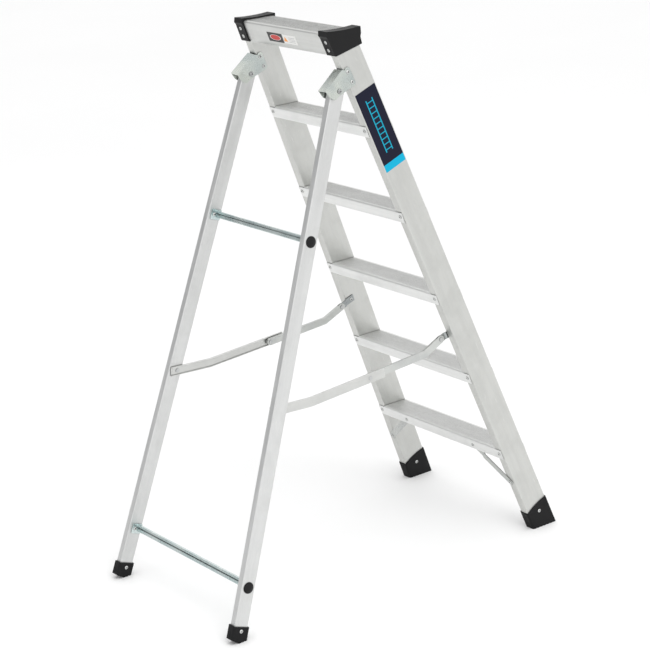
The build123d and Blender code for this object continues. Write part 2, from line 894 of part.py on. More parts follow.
with BuildPart() as rear_stile_left:
    mirror(rear_stile_right.part, about=Plane.YZ)
save(rear_stile_right.part, "rear_stile_right")
save(rear_stile_left.part, "rear_stile_left")

# End plugs close the rear stiles inside the hinge brackets
plug_y, plug_z = rear_yz(-rear_stile_overrun, 0)
end_plane = Plane(
    (rear_half(plug_z) - rear_stile_width / 2, plug_y, plug_z),
    x_dir=(1, 0, 0),
    z_dir=(0, -rear_sin, rear_cos),
)
with BuildPart() as end_plug_right:
    with BuildSketch(end_plane):
        RectangleRounded(
            rear_stile_width - 2 * end_plug_margin,
            rear_stile_depth - 2 * end_plug_margin,
            rear_stile_corner,
        )
    extrude(amount=end_plug_rise)
    chamfer(end_plug_right.faces().sort_by(Axis.Z)[-1].edges(), end_plug_edge)
    with BuildSketch(end_plane):
        Rectangle(
            rear_stile_width - 2 * (rear_stile_wall + end_plug_play),
            rear_stile_depth - 2 * (rear_stile_wall + end_plug_play),
        )
    extrude(amount=-end_plug_length)

with BuildPart() as rear_end_plugs:
    add(end_plug_right.part)
    mirror(end_plug_right.part, about=Plane.YZ)
save(rear_end_plugs.part, "rear_end_plugs")

# ---------------------------------------------------------------- rear boots
with BuildPart() as rear_boot_right:
    with BuildSketch(Plane.XY):
        rear_section(0, rear_boot_wall, rear_boot_end_wall)
    extrude(**climb_prism(rear_climb, 0, 2 * rear_boot_height))
    add(rear_blank.part, mode=Mode.SUBTRACT)
    with BuildSketch(Plane.YZ):
        with BuildLine():
            Polyline(
                rear_yz(rear_sole_drop - rear_boot_height, -rear_stile_depth),
                rear_yz(rear_sole_drop - rear_boot_height, rear_stile_depth),
                rear_yz(rear_sole_drop - 3 * rear_boot_height, rear_stile_depth),
                rear_yz(rear_sole_drop - 3 * rear_boot_height, -rear_stile_depth),
                close=True,
            )
        make_face()
    extrude(amount=rear_foot_width, both=True, mode=Mode.SUBTRACT)
    below_heel(0)
    with BuildSketch(Plane.XY):
        with Locations((rear_half(0) - rear_stile_width / 2, heel_y - heel_run - rear_groove_inset)):
            with GridLocations(1, 3 * sole_groove_width, 1, rear_groove_count):
                Rectangle(2 * rear_stile_width, sole_groove_width)
    extrude(amount=sole_groove, mode=Mode.SUBTRACT)
    drill(rear_boot_spots, grip=rear_boot_wall + rear_stile_wall)

with BuildPart() as rear_boot_left:
    mirror(rear_boot_right.part, about=Plane.YZ)
save(rear_boot_right.part, "rear_boot_right")
save(rear_boot_left.part, "rear_boot_left")


# ---------------------------------------------------------------- crossbars
def crossbar(drop):
    """Slotted channel between the rear stiles, with a tab riveted to each."""
    front_back = -rear_stile_depth / 2 + crossbar_front_gap
    y, z = rear_yz(drop, front_back + crossbar_depth / 2)
    section = Plane((0, y, z), x_dir=(0, rear_cos, rear_sin), z_dir=(1, 0, 0))
    half_tab = crossbar_tab_height / 2
    with BuildPart() as half:
        with BuildSketch(section):
            RectangleRounded(crossbar_depth, crossbar_height, crossbar_corner)
            RectangleRounded(
                crossbar_depth - 2 * crossbar_sheet,
                crossbar_height - 2 * crossbar_sheet,
                crossbar_inner_corner,
                mode=Mode.SUBTRACT,
            )
            with Locations((crossbar_depth / 2, crossbar_slot_rise)):
                Rectangle(3 * crossbar_sheet, crossbar_slot, mode=Mode.SUBTRACT)
        extrude(amount=rear_half(z))
        # Trim at the stile's inner face, then close with the end tab
        with BuildSketch(rear_side(rear_inner_lift)):
            with Locations(on_rear(drop, 0)):
                Rectangle(4 * rear_stile_depth, 4 * rear_stile_depth)
        extrude(amount=2 * rear_stile_width, mode=Mode.SUBTRACT)
        with BuildSketch(rear_side(rear_inner_lift)) as tab:
            with BuildLine():
                Polyline(
                    on_rear(drop + half_tab, front_back),
                    on_rear(drop + half_tab, front_back + crossbar_tab_length),
                    on_rear(drop - half_tab, front_back + crossbar_tab_length),
                    on_rear(drop - half_tab, front_back),
                    close=True,
                )
            make_face()
            fillet(tab.vertices(), crossbar_tab_corner)
        extrude(amount=-crossbar_tab_sheet)
        drill(crossbar_spots, grip=crossbar_tab_sheet)
    with BuildPart() as bar:
        add(half.part)
        mirror(half.part, about=Plane.YZ)
    return bar.part


for level, drop in crossbar_drops.items():
    save(crossbar(drop), f"rear_crossbar_{level}")

# Domed plugs close the access holes in the rear stiles' outer faces
with BuildPart() as plug_blank:
    with BuildSketch(Plane.XZ):
        with BuildLine():
            ThreePointArc(
                (0, plug_rise),
                (plug_radius * 0.72, plug_rise * 0.62),
                (plug_radius, plug_rim),
            )
            Polyline(
                (plug_radius, plug_rim),
                (plug_radius, 0),
                (plug_stem_radius, 0),
                (plug_stem_radius, -plug_stem_length),
                (0, -plug_stem_length),
                (0, plug_rise),
            )
        make_face()
    revolve(axis=Axis.Z)

with BuildPart() as crossbar_plugs:
    with Locations(*plug_spots, *mirrored_spots(plug_spots)):
        add(plug_blank.part)
save(crossbar_plugs.part, "crossbar_plugs")

# ---------------------------------------------------------------- folding stays
# The two bars of a stay meet at an elbow that sags below the line between their end pivots.
# Their lengths differ by as much as the pivots' distances from the hinge, so the stay folds flat.
front_pivot = Vector(*front_yz(front_stay_along, -stay_standoff))
rear_pivot = Vector(*rear_yz(stay_drop_rear, -stay_forward))
stay_span = (rear_pivot - front_pivot).length
span_dir = (rear_pivot - front_pivot).normalized()
sag_dir = Vector(span_dir.Y, -span_dir.X)
half_gap = (stay_drop_rear - stay_drop_front) / 2
elbow_shift = half_gap * sqrt(1 + elbow_sag**2 / (stay_span**2 / 4 - half_gap**2))
elbow = front_pivot + span_dir * (stay_span / 2 - elbow_shift) + sag_dir * elbow_sag


def bar_place(start, end, along, drop):
    """Point at a distance from start towards end, dropped below that line."""
    line = (end - start).normalized()
    down = Vector(line.Y, -line.X) if line.X > 0 else Vector(-line.Y, line.X)
    return start + line * along + down * drop


def bar_run(start, end, half_height, norm, behind=0.0, ahead=0.0):
    """Straight run of a bar between two points, lengthened at its ends."""
    line = (end - start).normalized()
    side = Vector(-line.Y, line.X) * half_height
    first = start - line * behind
    last = end + line * ahead
    corners = [first + side, last + side, last - side, first - side]
    Polygon(*[(corner.X, corner.Y * norm) for corner in corners], align=None)


def bar_disc(place, radius, norm, mode=Mode.ADD):
    """Disc on a bar, for a round end, a bend or a pivot hole."""
    with Locations((place.X, place.Y * norm)):
        Circle(radius, mode=mode)


front_bend = bar_place(front_pivot, elbow, front_bend_along, front_bend_drop)
rear_bend = bar_place(rear_pivot, elbow, rear_bend_along, rear_bend_drop)
tongue_outer = front_inner_lift - lug_joggle
front_bar_outer = front_inner_lift - front_bar_offset
rear_bar_outer = rear_inner_lift - rear_bar_offset
front_bar_half = front_bar_height / 2

with BuildPart() as front_stay_right:
    with BuildSketch(front_side(front_bar_outer)):
        bar_run(front_pivot, front_bend, front_bar_half, front_norm)
        bar_run(front_bend, elbow, front_bar_half, front_norm)
        bar_disc(front_pivot, front_bar_half, front_norm)
        bar_disc(front_bend, front_bar_half, front_norm)
        bar_disc(elbow, front_bar_half, front_norm)
        bar_disc(front_pivot, stay_pin_radius + running_clearance, front_norm, Mode.SUBTRACT)
        bar_disc(elbow, stay_pin_radius, front_norm, Mode.SUBTRACT)
    extrude(amount=-front_bar_width)
    # Fork for the lug's tongue
    with BuildSketch(front_side(tongue_outer + fork_clearance)):
        bar_disc(front_pivot, front_bar_half + fork_reach, front_norm)
    extrude(amount=-(lug_sheet + 2 * fork_clearance), mode=Mode.SUBTRACT)


def rear_bar_outline(half_height, beyond=0.0):
    """Side outline of the rear bar."""
    bar_run(rear_pivot, rear_bend, half_height, rear_norm, behind=rear_bar_tail + beyond)
    bar_run(rear_bend, elbow, half_height, rear_norm, ahead=rear_bar_lap + beyond)
    bar_disc(rear_bend, half_height, rear_norm)


with BuildPart() as rear_stay_right:
    with BuildSketch(rear_side(rear_bar_outer)):
        rear_bar_outline(rear_bar_height / 2)
        bar_disc(rear_pivot, stay_pin_radius + running_clearance, rear_norm, Mode.SUBTRACT)
        bar_disc(elbow, stay_pin_radius, rear_norm, Mode.SUBTRACT)
    extrude(amount=-rear_bar_width)
    # Channel open towards the ladder's middle
    with BuildSketch(rear_side(rear_bar_outer - rear_bar_sheet)):
        rear_bar_outline(rear_bar_height / 2 - rear_bar_sheet, beyond=1.0)
    extrude(amount=-rear_bar_width, mode=Mode.SUBTRACT)

with BuildPart() as front_stay_left:
    mirror(front_stay_right.part, about=Plane.YZ)

with BuildPart() as rear_stay_left:
    mirror(rear_stay_right.part, about=Plane.YZ)

save(front_stay_right.part, "front_stay_right")
save(front_stay_left.part, "front_stay_left")
save(rear_stay_right.part, "rear_stay_right")
save(rear_stay_left.part, "rear_stay_left")

# Lugs carry the front bars behind the climbing frame's stiles
lug_face = front_side(front_inner_lift)
lug_foot = lug_face.from_local_coords((*on_front(front_stay_along, 0), 0))
lug_tip = lug_face.from_local_coords((*on_front(front_stay_along, -stay_standoff), 0))
lug_section = Plane(lug_foot, x_dir=lug_tip - lug_foot, z_dir=(lug_tip - lug_foot).cross(lug_face.z_dir))
tongue_end = stay_standoff + lug_height

with BuildPart() as stay_lug_right:
    with BuildSketch(lug_section):
        with BuildLine():
            Polyline(
                (-lug_reach, 0),
                (lug_bend_start, 0),
                (lug_bend_start + lug_bend_run, -lug_joggle),
                (tongue_end, -lug_joggle),
                (tongue_end, -lug_joggle - lug_sheet),
                (lug_bend_start + lug_bend_run - lug_bend_shift, -lug_joggle - lug_sheet),
                (lug_bend_start - lug_bend_shift, -lug_sheet),
                (-lug_reach, -lug_sheet),
                close=True,
            )
        make_face()
    extrude(amount=lug_height / 2, both=True)
    with BuildSketch(lug_face) as lug_outline:
        with BuildLine():
            Polyline(
                on_front(front_stay_along - lug_height / 2, lug_reach),
                on_front(front_stay_along + lug_height / 2, lug_reach),
                on_front(front_stay_along + lug_height / 2, -stay_standoff),
                on_front(front_stay_along - lug_height / 2, -stay_standoff),
                close=True,
            )
        make_face()
        with Locations(front_stay_place):
            Circle(lug_height / 2)
            Circle(stay_pin_radius, mode=Mode.SUBTRACT)
    extrude(amount=-3 * lug_joggle, mode=Mode.INTERSECT)
    drill(lug_spots, grip=lug_sheet)

with BuildPart() as stay_lug_left:
    mirror(stay_lug_right.part, about=Plane.YZ)
save(stay_lug_right.part, "stay_lug_right")
save(stay_lug_left.part, "stay_lug_left")


def pin(plane, place, spans):
    """Headed pin along a side plane's normal; each span is a radius, a start and an end lift."""
    for radius, start, end in spans:
        with BuildSketch(plane.offset(start)) as disc:
            with Locations(place):
                Circle(radius)
        extrude(disc.sketch, amount=end - start)


front_bar_inner = front_bar_outer - front_bar_width
front_head_lift = front_bar_outer + stay_pin_play
front_tail_lift = front_bar_inner - stay_pin_play
with BuildPart() as front_pin_right:
    pin(
        front_side(),
        front_stay_place,
        [
            (stay_pin_radius, front_tail_lift, front_head_lift),
            (stay_pin_head_radius, front_head_lift, front_head_lift + stay_pin_head),
            (stay_pin_head_radius, front_tail_lift - stay_pin_head, front_tail_lift),
        ],
    )

with BuildPart() as front_stay_pins:
    add(front_pin_right.part)
    mirror(front_pin_right.part, about=Plane.YZ)
save(front_stay_pins.part, "front_stay_pins")

rear_tail_lift = rear_bar_outer - rear_bar_sheet - stay_pin_play
rear_wall_inner = rear_inner_lift + rear_stile_wall
with BuildPart() as rear_pin_right:
    pin(
        rear_side(),
        rear_stay_place,
        [
            (stay_pin_radius, rear_tail_lift, rear_wall_inner),
            (stay_pin_head_radius, rear_tail_lift - stay_pin_head, rear_tail_lift),
            (stay_pin_head_radius, rear_wall_inner, rear_wall_inner + 2 * stay_pin_head),
        ],
    )

with BuildPart() as rear_stay_pins:
    add(rear_pin_right.part)
    mirror(rear_pin_right.part, about=Plane.YZ)
save(rear_stay_pins.part, "rear_stay_pins")

# Each bar carries its own half of the elbow pivot
front_elbow_place = (elbow.X, elbow.Y * front_norm)
rear_elbow_place = (elbow.X, elbow.Y * rear_norm)
with BuildPart() as front_elbow_right:
    pin(
        front_side(),
        front_elbow_place,
        [
            (stay_pin_radius, front_bar_inner, front_bar_outer),
            (stay_pin_head_radius, front_bar_inner - stay_pin_head, front_bar_inner),
        ],
    )

with BuildPart() as rear_elbow_right:
    pin(
        rear_side(),
        rear_elbow_place,
        [
            (stay_pin_radius, rear_bar_outer - rear_bar_width + elbow_recess, rear_bar_outer),
            (stay_pin_head_radius, rear_bar_outer, rear_bar_outer + elbow_head),
        ],
    )

with BuildPart() as front_elbow_left:
    mirror(front_elbow_right.part, about=Plane.YZ)

with BuildPart() as rear_elbow_left:
    mirror(rear_elbow_right.part, about=Plane.YZ)

save(front_elbow_right.part, "front_elbow_rivet_right")
save(front_elbow_left.part, "front_elbow_rivet_left")
save(rear_elbow_right.part, "rear_elbow_rivet_right")
save(rear_elbow_left.part, "rear_elbow_rivet_left")

# ---------------------------------------------------------------- rivets
rivet_nodes = {
    "tread_rivets": (tread_spots, rivet_grip, True),
    "bracket_rivets": (bracket_spots, rivet_grip, True),
    "cap_rivets": (cap_spots, cap_grip, False),
    "front_boot_rivets": (boot_spots, boot_wall + stile_wall, True),
    "lug_rivets": (lug_spots, lug_sheet + stile_wall, True),
    "brace_top_rivets": (brace_top_spots, brace_grip, True),
    "brace_foot_rivets": (brace_foot_spots, rivet_grip, True),
    "crossbar_rivets": (crossbar_spots, crossbar_tab_sheet + rear_stile_wall, True),
    "rear_boot_rivets": (rear_boot_spots, rear_boot_wall + rear_stile_wall, True),
}
for name, (spots, grip, tail) in rivet_nodes.items():
    save(rivet_group(spots + mirrored_spots(spots), grip, tail), name)

# ---------------------------------------------------------------- labels
with BuildPart() as side_label:
    # On the left stile's outer face, a panel with a band below it
    with BuildSketch(front_side()):
        with BuildLine():
            Polyline(
                on_front(side_label_foot, stile_corner),
                on_front(side_label_foot + side_label_length, stile_corner),
                on_front(side_label_foot + side_label_length, stile_depth - stile_corner),
                on_front(side_label_foot, stile_depth - stile_corner),
                close=True,
            )
        make_face()
    extrude(amount=label_thickness)

with BuildPart() as side_label_left:
    mirror(side_label.part, about=Plane.YZ)
save(side_label_left.part, "side_label")

label_y, label_z = front_yz(
    along_at(platform_height - platform_rear_drop, -platform_sheet) + rear_label_lift,
    -platform_sheet,
)
with BuildPart() as platform_label:
    with BuildSketch(
        Plane((rear_label_shift, label_y, label_z), x_dir=(1, 0, 0), z_dir=(0, front_cos, -front_sin))
    ):
        Rectangle(rear_label_length, rear_label_height, align=(Align.CENTER, Align.CENTER))
    extrude(amount=label_thickness)
save(platform_label.part, "platform_label")
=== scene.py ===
"""Looks of the swing-back step ladder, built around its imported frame.

The ladder's shape, sizes and joints come from the frame. This file gives every piece of it a
finish, and adds the small moulded and turned details that ride on it. Lengths are in metres.
"""

import json
import logging
from dataclasses import dataclass, field
from enum import Enum
from math import cos, radians, sin, tan
from typing import Any, Callable, Optional, Sequence, Union

import bpy
from mathutils import Matrix, Vector


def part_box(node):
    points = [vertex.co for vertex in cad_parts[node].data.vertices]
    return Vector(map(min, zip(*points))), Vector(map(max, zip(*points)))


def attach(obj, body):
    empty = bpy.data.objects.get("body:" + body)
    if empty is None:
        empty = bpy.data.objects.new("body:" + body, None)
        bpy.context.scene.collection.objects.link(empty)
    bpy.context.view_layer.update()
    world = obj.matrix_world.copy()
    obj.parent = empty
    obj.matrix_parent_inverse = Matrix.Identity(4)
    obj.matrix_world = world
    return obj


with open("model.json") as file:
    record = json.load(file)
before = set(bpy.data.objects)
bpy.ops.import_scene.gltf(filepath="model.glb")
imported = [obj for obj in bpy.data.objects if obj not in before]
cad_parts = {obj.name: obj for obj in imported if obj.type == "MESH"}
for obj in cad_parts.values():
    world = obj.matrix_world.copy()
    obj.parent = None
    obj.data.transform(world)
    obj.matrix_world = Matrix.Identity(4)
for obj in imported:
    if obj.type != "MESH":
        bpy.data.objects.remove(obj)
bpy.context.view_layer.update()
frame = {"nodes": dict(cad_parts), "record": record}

log = logging.getLogger("ladder")

Colour = tuple[float, float, float]
Socket = bpy.types.NodeSocket
Number = Union[float, Socket]
Paint = Union[Colour, Socket]

SMOOTH_BELOW = radians(35)
WELD_DISTANCE = 1e-6
FACES_OUT = 0.9


class Side(Enum):
    """The two sides of the ladder, by the sign of their x."""

    LEFT = -1
    RIGHT = 1


class Grain(Enum):
    """The way a drawn surface's fine lines run, as the turn that stands them upright."""

    UP_CLIMBING_STILE = (radians(20.13), 0.0, 0.0)
    UP_REAR_STILE = (radians(-20.19), 0.0, 0.0)
    ACROSS = (0.0, radians(-90), 0.0)
    ALONG_STAY = (radians(90), 0.0, 0.0)


# ---------------------------------------------------------------- shader building


class Tree:
    """A node tree under construction."""

    def __init__(self, tree: bpy.types.NodeTree) -> None:
        """Take the tree that nodes are added to."""
        self.tree = tree

    def node(self, kind: str, inputs: Optional[dict] = None, **settings: Any) -> bpy.types.Node:
        """Add a node.

        Args:
            kind: the node's type name.
            inputs: socket names or numbers, each with a constant or the socket that feeds it.
            settings: the node's own properties.

        Returns:
            The new node.
        """
        node = self.tree.nodes.new(kind)
        for name, value in settings.items():
            setattr(node, name, value)
        for name, value in (inputs or {}).items():
            if isinstance(value, Socket):
                self.tree.links.new(value, node.inputs[name])
            else:
                node.inputs[name].default_value = value
        return node

    def math(self, operation: str, *values: Number) -> Socket:
        """Work out one number from constants or sockets and return its socket."""
        node = self.node("ShaderNodeMath", dict(enumerate(values)), operation=operation)
        return node.outputs[0]

    def ramp(
        self, value: Number, low: float, high: float, start: float = 0.0, end: float = 1.0
    ) -> Socket:
        """Stretch a value's range, smoothly and clamped.

        Args:
            value: the number to stretch.
            low: the value that becomes start.
            high: the value that becomes end.
            start: the result at low.
            end: the result at high.

        Returns:
            The stretched number's socket.
        """
        node = self.node(
            "ShaderNodeMapRange",
            {"Value": value, "From Min": low, "From Max": high, "To Min": start, "To Max": end},
            interpolation_type="SMOOTHSTEP",
        )
        return node.outputs["Result"]

    def between(self, value: Number, low: float, high: float) -> Socket:
        """Mask where a value lies between two limits.

        Args:
            value: the number to test.
            low: the lower limit.
            high: the upper limit.

        Returns:
            The mask's socket, 1 between the limits.
        """
        above = self.math("GREATER_THAN", value, low)
        below = self.math("LESS_THAN", value, high)
        return self.math("MULTIPLY", above, below)

    def mix(self, share: Number, first: Paint, second: Paint) -> Socket:
        """Mix two colours.

        Args:
            share: how much of the second there is.
            first: the colour at a share of 0.
            second: the colour at a share of 1.

        Returns:
            The mixed colour's socket.
        """
        node = self.node("ShaderNodeMix", {"Factor": share}, data_type="RGBA")
        for name, value in (("A", first), ("B", second)):
            socket = next(s for s in node.inputs if s.name == name and s.type == "RGBA")
            if isinstance(value, Socket):
                self.tree.links.new(value, socket)
            else:
                socket.default_value = (*value, 1.0)
        return next(s for s in node.outputs if s.type == "RGBA")

    def noise(
        self, vector: Socket, scale: float, detail: float = 2.0, roughness: float = 0.5
    ) -> Socket:
        """Noise value at a place.

        Args:
            vector: the place.
            scale: how fine the noise is.
            detail: how many finer layers it has.
            roughness: how strong the finer layers are.

        Returns:
            The value's socket.
        """
        node = self.node(
            "ShaderNodeTexNoise",
            {"Vector": vector, "Scale": scale, "Detail": detail, "Roughness": roughness},
        )
        return node.outputs[0]

    def placed(self, turn: Sequence[float] = (0, 0, 0)) -> Socket:
        """Object coordinates, turned."""
        coordinates = self.node("ShaderNodeTexCoord").outputs["Object"]
        return self.node("ShaderNodeMapping", {"Vector": coordinates, "Rotation": turn}).outputs[0]


def new_group(
    name: str, inputs: dict, outputs: Sequence[str]
) -> tuple[Tree, bpy.types.Node, bpy.types.Node]:
    """Start a shader node group.

    Args:
        name: the group's name.
        inputs: input names, each with its default number, or None for a vector.
        outputs: names of the numbers it puts out.

    Returns:
        The group's tree, its input node and its output node.
    """
    group = bpy.data.node_groups.new(name, "ShaderNodeTree")
    for label, default in inputs.items():
        kind = "NodeSocketVector" if default is None else "NodeSocketFloat"
        socket = group.interface.new_socket(label, in_out="INPUT", socket_type=kind)
        if default is not None:
            socket.default_value = default
    for label in outputs:
        group.interface.new_socket(label, in_out="OUTPUT", socket_type="NodeSocketFloat")
    tree = Tree(group)
    return tree, tree.node("NodeGroupInput"), tree.node("NodeGroupOutput")


def die_lines_group() -> bpy.types.NodeTree:
    """Fine lines that drawing or rolling leaves along a surface, and broad streaks among them.

    Returns:
        The finished group.
    """
    drawn_out = (1, 1, 0.012)
    tree, given, out = new_group(
        "die_lines", {"Vector": None, "Pitch": 900.0}, ["Lines", "Streaks"]
    )
    along = tree.node(
        "ShaderNodeVectorMath", {0: given.outputs["Vector"], 1: drawn_out}, operation="MULTIPLY"
    )
    fine = tree.noise(along.outputs[0], 1.0, 3.0, 0.6)
    tree.tree.links.new(given.outputs["Pitch"], fine.node.inputs["Scale"])
    broad = tree.noise(along.outputs[0], 60.0, 2.0, 0.5)
    tree.tree.links.new(tree.ramp(fine, 0.3, 0.7), out.inputs["Lines"])
    tree.tree.links.new(tree.ramp(broad, 0.35, 0.65), out.inputs["Streaks"])
    return tree.tree


def handling_group() -> bpy.types.NodeTree:
    """Smudges from hands, and short scratches in two directions.

    Returns:
        The finished group.
    """
    scratch_turns = ((0.4, 0.3, 0.9), (-0.7, 0.5, 0.2))
    scratch_shape = (420, 420, 9)
    tree, given, out = new_group(
        "handling_marks", {"Vector": None, "Density": 0.5}, ["Smudges", "Scratches"]
    )
    place = given.outputs["Vector"]
    smudges = tree.ramp(tree.noise(place, 14.0, 4.0, 0.6), 0.42, 0.68)
    marks = None
    for turn in scratch_turns:
        leaning = tree.node(
            "ShaderNodeMapping", {"Vector": place, "Rotation": turn, "Scale": scratch_shape}
        )
        thin = tree.ramp(tree.noise(leaning.outputs[0], 1.0, 1.0), 0.72, 0.78)
        marks = thin if marks is None else tree.math("MAXIMUM", marks, thin)
    patches = tree.ramp(tree.noise(place, 22.0, 2.0), 0.5, 0.62)
    marks = tree.math("MULTIPLY", tree.math("MULTIPLY", marks, patches), given.outputs["Density"])
    tree.tree.links.new(smudges, out.inputs["Smudges"])
    tree.tree.links.new(marks, out.inputs["Scratches"])
    return tree.tree


def edge_group() -> bpy.types.NodeTree:
    """Mask of the edges, broken up by noise: the metals wear a painted highlight along it, the
    mouldings the rubbing of hands, feet and other tools.

    Returns:
        The finished group.
    """
    tree, given, out = new_group("edge_rub", {"Vector": None, "Reach": 0.001}, ["Edges"])
    rounded = tree.node("ShaderNodeBevel", {"Radius": given.outputs["Reach"]}, samples=4)
    flat = tree.node("ShaderNodeNewGeometry").outputs["Normal"]
    turn = tree.node(
        "ShaderNodeVectorMath", {0: rounded.outputs[0], 1: flat}, operation="DOT_PRODUCT"
    )
    edge = tree.ramp(turn.outputs["Value"], 0.99, 0.8)
    breaks = tree.ramp(tree.noise(given.outputs["Vector"], 90.0, 3.0), 0.35, 0.6, 0.35, 1.0)
    tree.tree.links.new(tree.math("MULTIPLY", edge, breaks), out.inputs["Edges"])
    return tree.tree


def dust_group() -> bpy.types.NodeTree:
    """Mask of the dust that settles on surfaces that face up.

    Returns:
        The finished group.
    """
    tree, given, out = new_group("settled_dust", {"Vector": None, "Amount": 0.4}, ["Dust"])
    normal = tree.node("ShaderNodeNewGeometry").outputs["Normal"]
    upward = tree.node("ShaderNodeSeparateXYZ", {0: normal}).outputs["Z"]
    lying = tree.ramp(upward, 0.5, 0.95)
    patches = tree.ramp(tree.noise(given.outputs["Vector"], 35.0, 5.0, 0.65), 0.4, 0.7)
    dust = tree.math("MULTIPLY", tree.math("MULTIPLY", lying, patches), given.outputs["Amount"])
    tree.tree.links.new(dust, out.inputs["Dust"])
    return tree.tree


def painted_shade_group() -> bpy.types.NodeTree:
    """Mask of the corners, grooves and rivet holes that ambient occlusion finds, for painted shade
    there.

    Returns:
        The finished group.
    """
    tree, given, out = new_group("recess_grime", {"Reach": 0.003, "Amount": 0.6}, ["Grime"])
    open_sky = tree.node(
        "ShaderNodeAmbientOcclusion", {"Distance": given.outputs["Reach"]}, samples=6
    )
    # painted shade: the less open sky a point sees, the darker it is painted
    hidden = tree.ramp(open_sky.outputs["AO"], 0.95, 0.45)
    tree.tree.links.new(tree.math("MULTIPLY", hidden, given.outputs["Amount"]), out.inputs["Grime"])
    return tree.tree


def grain_group() -> bpy.types.NodeTree:
    """Height of the fine leathery grain that a spark-eroded mould leaves.

    Returns:
        The finished group.
    """
    tree, given, out = new_group("moulded_grain", {"Vector": None, "Scale": 900.0}, ["Height"])
    cells = tree.node(
        "ShaderNodeTexVoronoi", {"Vector": given.outputs["Vector"], "Scale": given.outputs["Scale"]}
    )
    soft = tree.noise(given.outputs["Vector"], 260.0, 3.0)
    height = tree.math("ADD", cells.outputs["Distance"], tree.math("MULTIPLY", soft, 0.6))
    tree.tree.links.new(height, out.inputs["Height"])
    return tree.tree


GROUPS = {
    "die_lines": die_lines_group(),
    "handling_marks": handling_group(),
    "edge_rub": edge_group(),
    "settled_dust": dust_group(),
    "moulded_grain": grain_group(),
    "recess_grime": painted_shade_group(),
}


class Surface(Tree):
    """A material's tree, with its Principled shader and the shared effect groups at hand."""

    def __init__(self, name: str) -> None:
        """Make an empty material with a Principled shader.

        Args:
            name: the material's name.
        """
        self.material = bpy.data.materials.new(name)
        self.material.use_nodes = True
        super().__init__(self.material.node_tree)
        self.tree.nodes.clear()
        output = self.tree.nodes.new("ShaderNodeOutputMaterial")
        self.shader = self.tree.nodes.new("ShaderNodeBsdfPrincipled")
        self.tree.links.new(self.shader.outputs[0], output.inputs[0])

    def effect(self, name: str, **inputs: Number) -> bpy.types.Node:
        """Place a shared effect group.

        Args:
            name: the group's name in GROUPS.
            inputs: its inputs, each a constant or a socket.

        Returns:
            The group node.
        """
        node = self.tree.nodes.new("ShaderNodeGroup")
        node.node_tree = GROUPS[name]
        for label, value in inputs.items():
            if isinstance(value, Socket):
                self.tree.links.new(value, node.inputs[label])
            else:
                node.inputs[label].default_value = value
        return node

    def feed(self, **inputs: Union[Number, Paint]) -> None:
        """Set or link the Principled shader's inputs.

        Args:
            inputs: socket names, each with a constant or a socket; an underscore is a space.
        """
        for label, value in inputs.items():
            socket = self.shader.inputs[label.replace("_", " ")]
            if isinstance(value, Socket):
                self.tree.links.new(value, socket)
            elif socket.type == "RGBA":
                socket.default_value = (*value, 1.0)
            else:
                socket.default_value = value

    def bump(self, height: Socket, strength: float, distance: float) -> None:
        """Raise the surface by a height.

        Args:
            height: the height's socket.
            strength: how strongly it shades.
            distance: how high a height of 1 is.
        """
        bump = self.node(
            "ShaderNodeBump", {"Height": height, "Strength": strength, "Distance": distance}
        )
        self.tree.links.new(bump.outputs[0], self.shader.inputs["Normal"])


# ---------------------------------------------------------------- finishes


# Colours that wear, dust and ink give, colours of painted shade and painted highlight, and how far
# from a corner the painted shade reaches
ALUMINIUM_SCRATCH = (0.78, 0.78, 0.76)
# painted highlight on aluminium edges
ALUMINIUM_EDGE_HIGHLIGHT = (0.93, 0.93, 0.92)
ALUMINIUM_DUST = (0.6, 0.58, 0.54)
# painted shade in aluminium corners and grooves
ALUMINIUM_PAINTED_SHADE = (0.16, 0.16, 0.155)
ZINC_FLAKE = (0.8, 0.85, 0.85)
ZINC_SCRATCH = (0.75, 0.78, 0.78)
# painted highlight on zinc edges
ZINC_EDGE_HIGHLIGHT = (0.74, 0.77, 0.77)
ZINC_DUST = (0.5, 0.48, 0.44)
# painted shade in zinc recesses
ZINC_PAINTED_SHADE = (0.06, 0.065, 0.065)
MOULDING_SMUDGE = (0.008, 0.008, 0.009)
MOULDING_WORN = (0.045, 0.045, 0.047)
MOULDING_DUST = (0.12, 0.115, 0.105)
# painted highlight on pin, rivet and screw edges
PIN_EDGE_HIGHLIGHT = (0.85, 0.85, 0.85)
SIGN_BLUE = (0.006, 0.33, 0.47)
BAND_BLUE = (0.002, 0.37, 0.58)
FILM_SCRATCH = (0.25, 0.28, 0.3)
NOTICE_PALE = (0.76, 0.76, 0.74)
NOTICE_BLACK = (0.02, 0.018, 0.018)
NOTICE_RED = (0.52, 0.03, 0.025)
NOTICE_RING = (0.8, 0.78, 0.76)
NOTICE_ORANGE = (0.85, 0.32, 0.06)
NOTICE_RULE = (0.35, 0.35, 0.36)
# painted shade in pin bores and screw sockets
PIN_PAINTED_SHADE = (0.02, 0.02, 0.02)
FILM_DARK = (0.007, 0.008, 0.022)
# how far from a corner the painted shade reaches
PAINTED_SHADE_REACH = 0.004


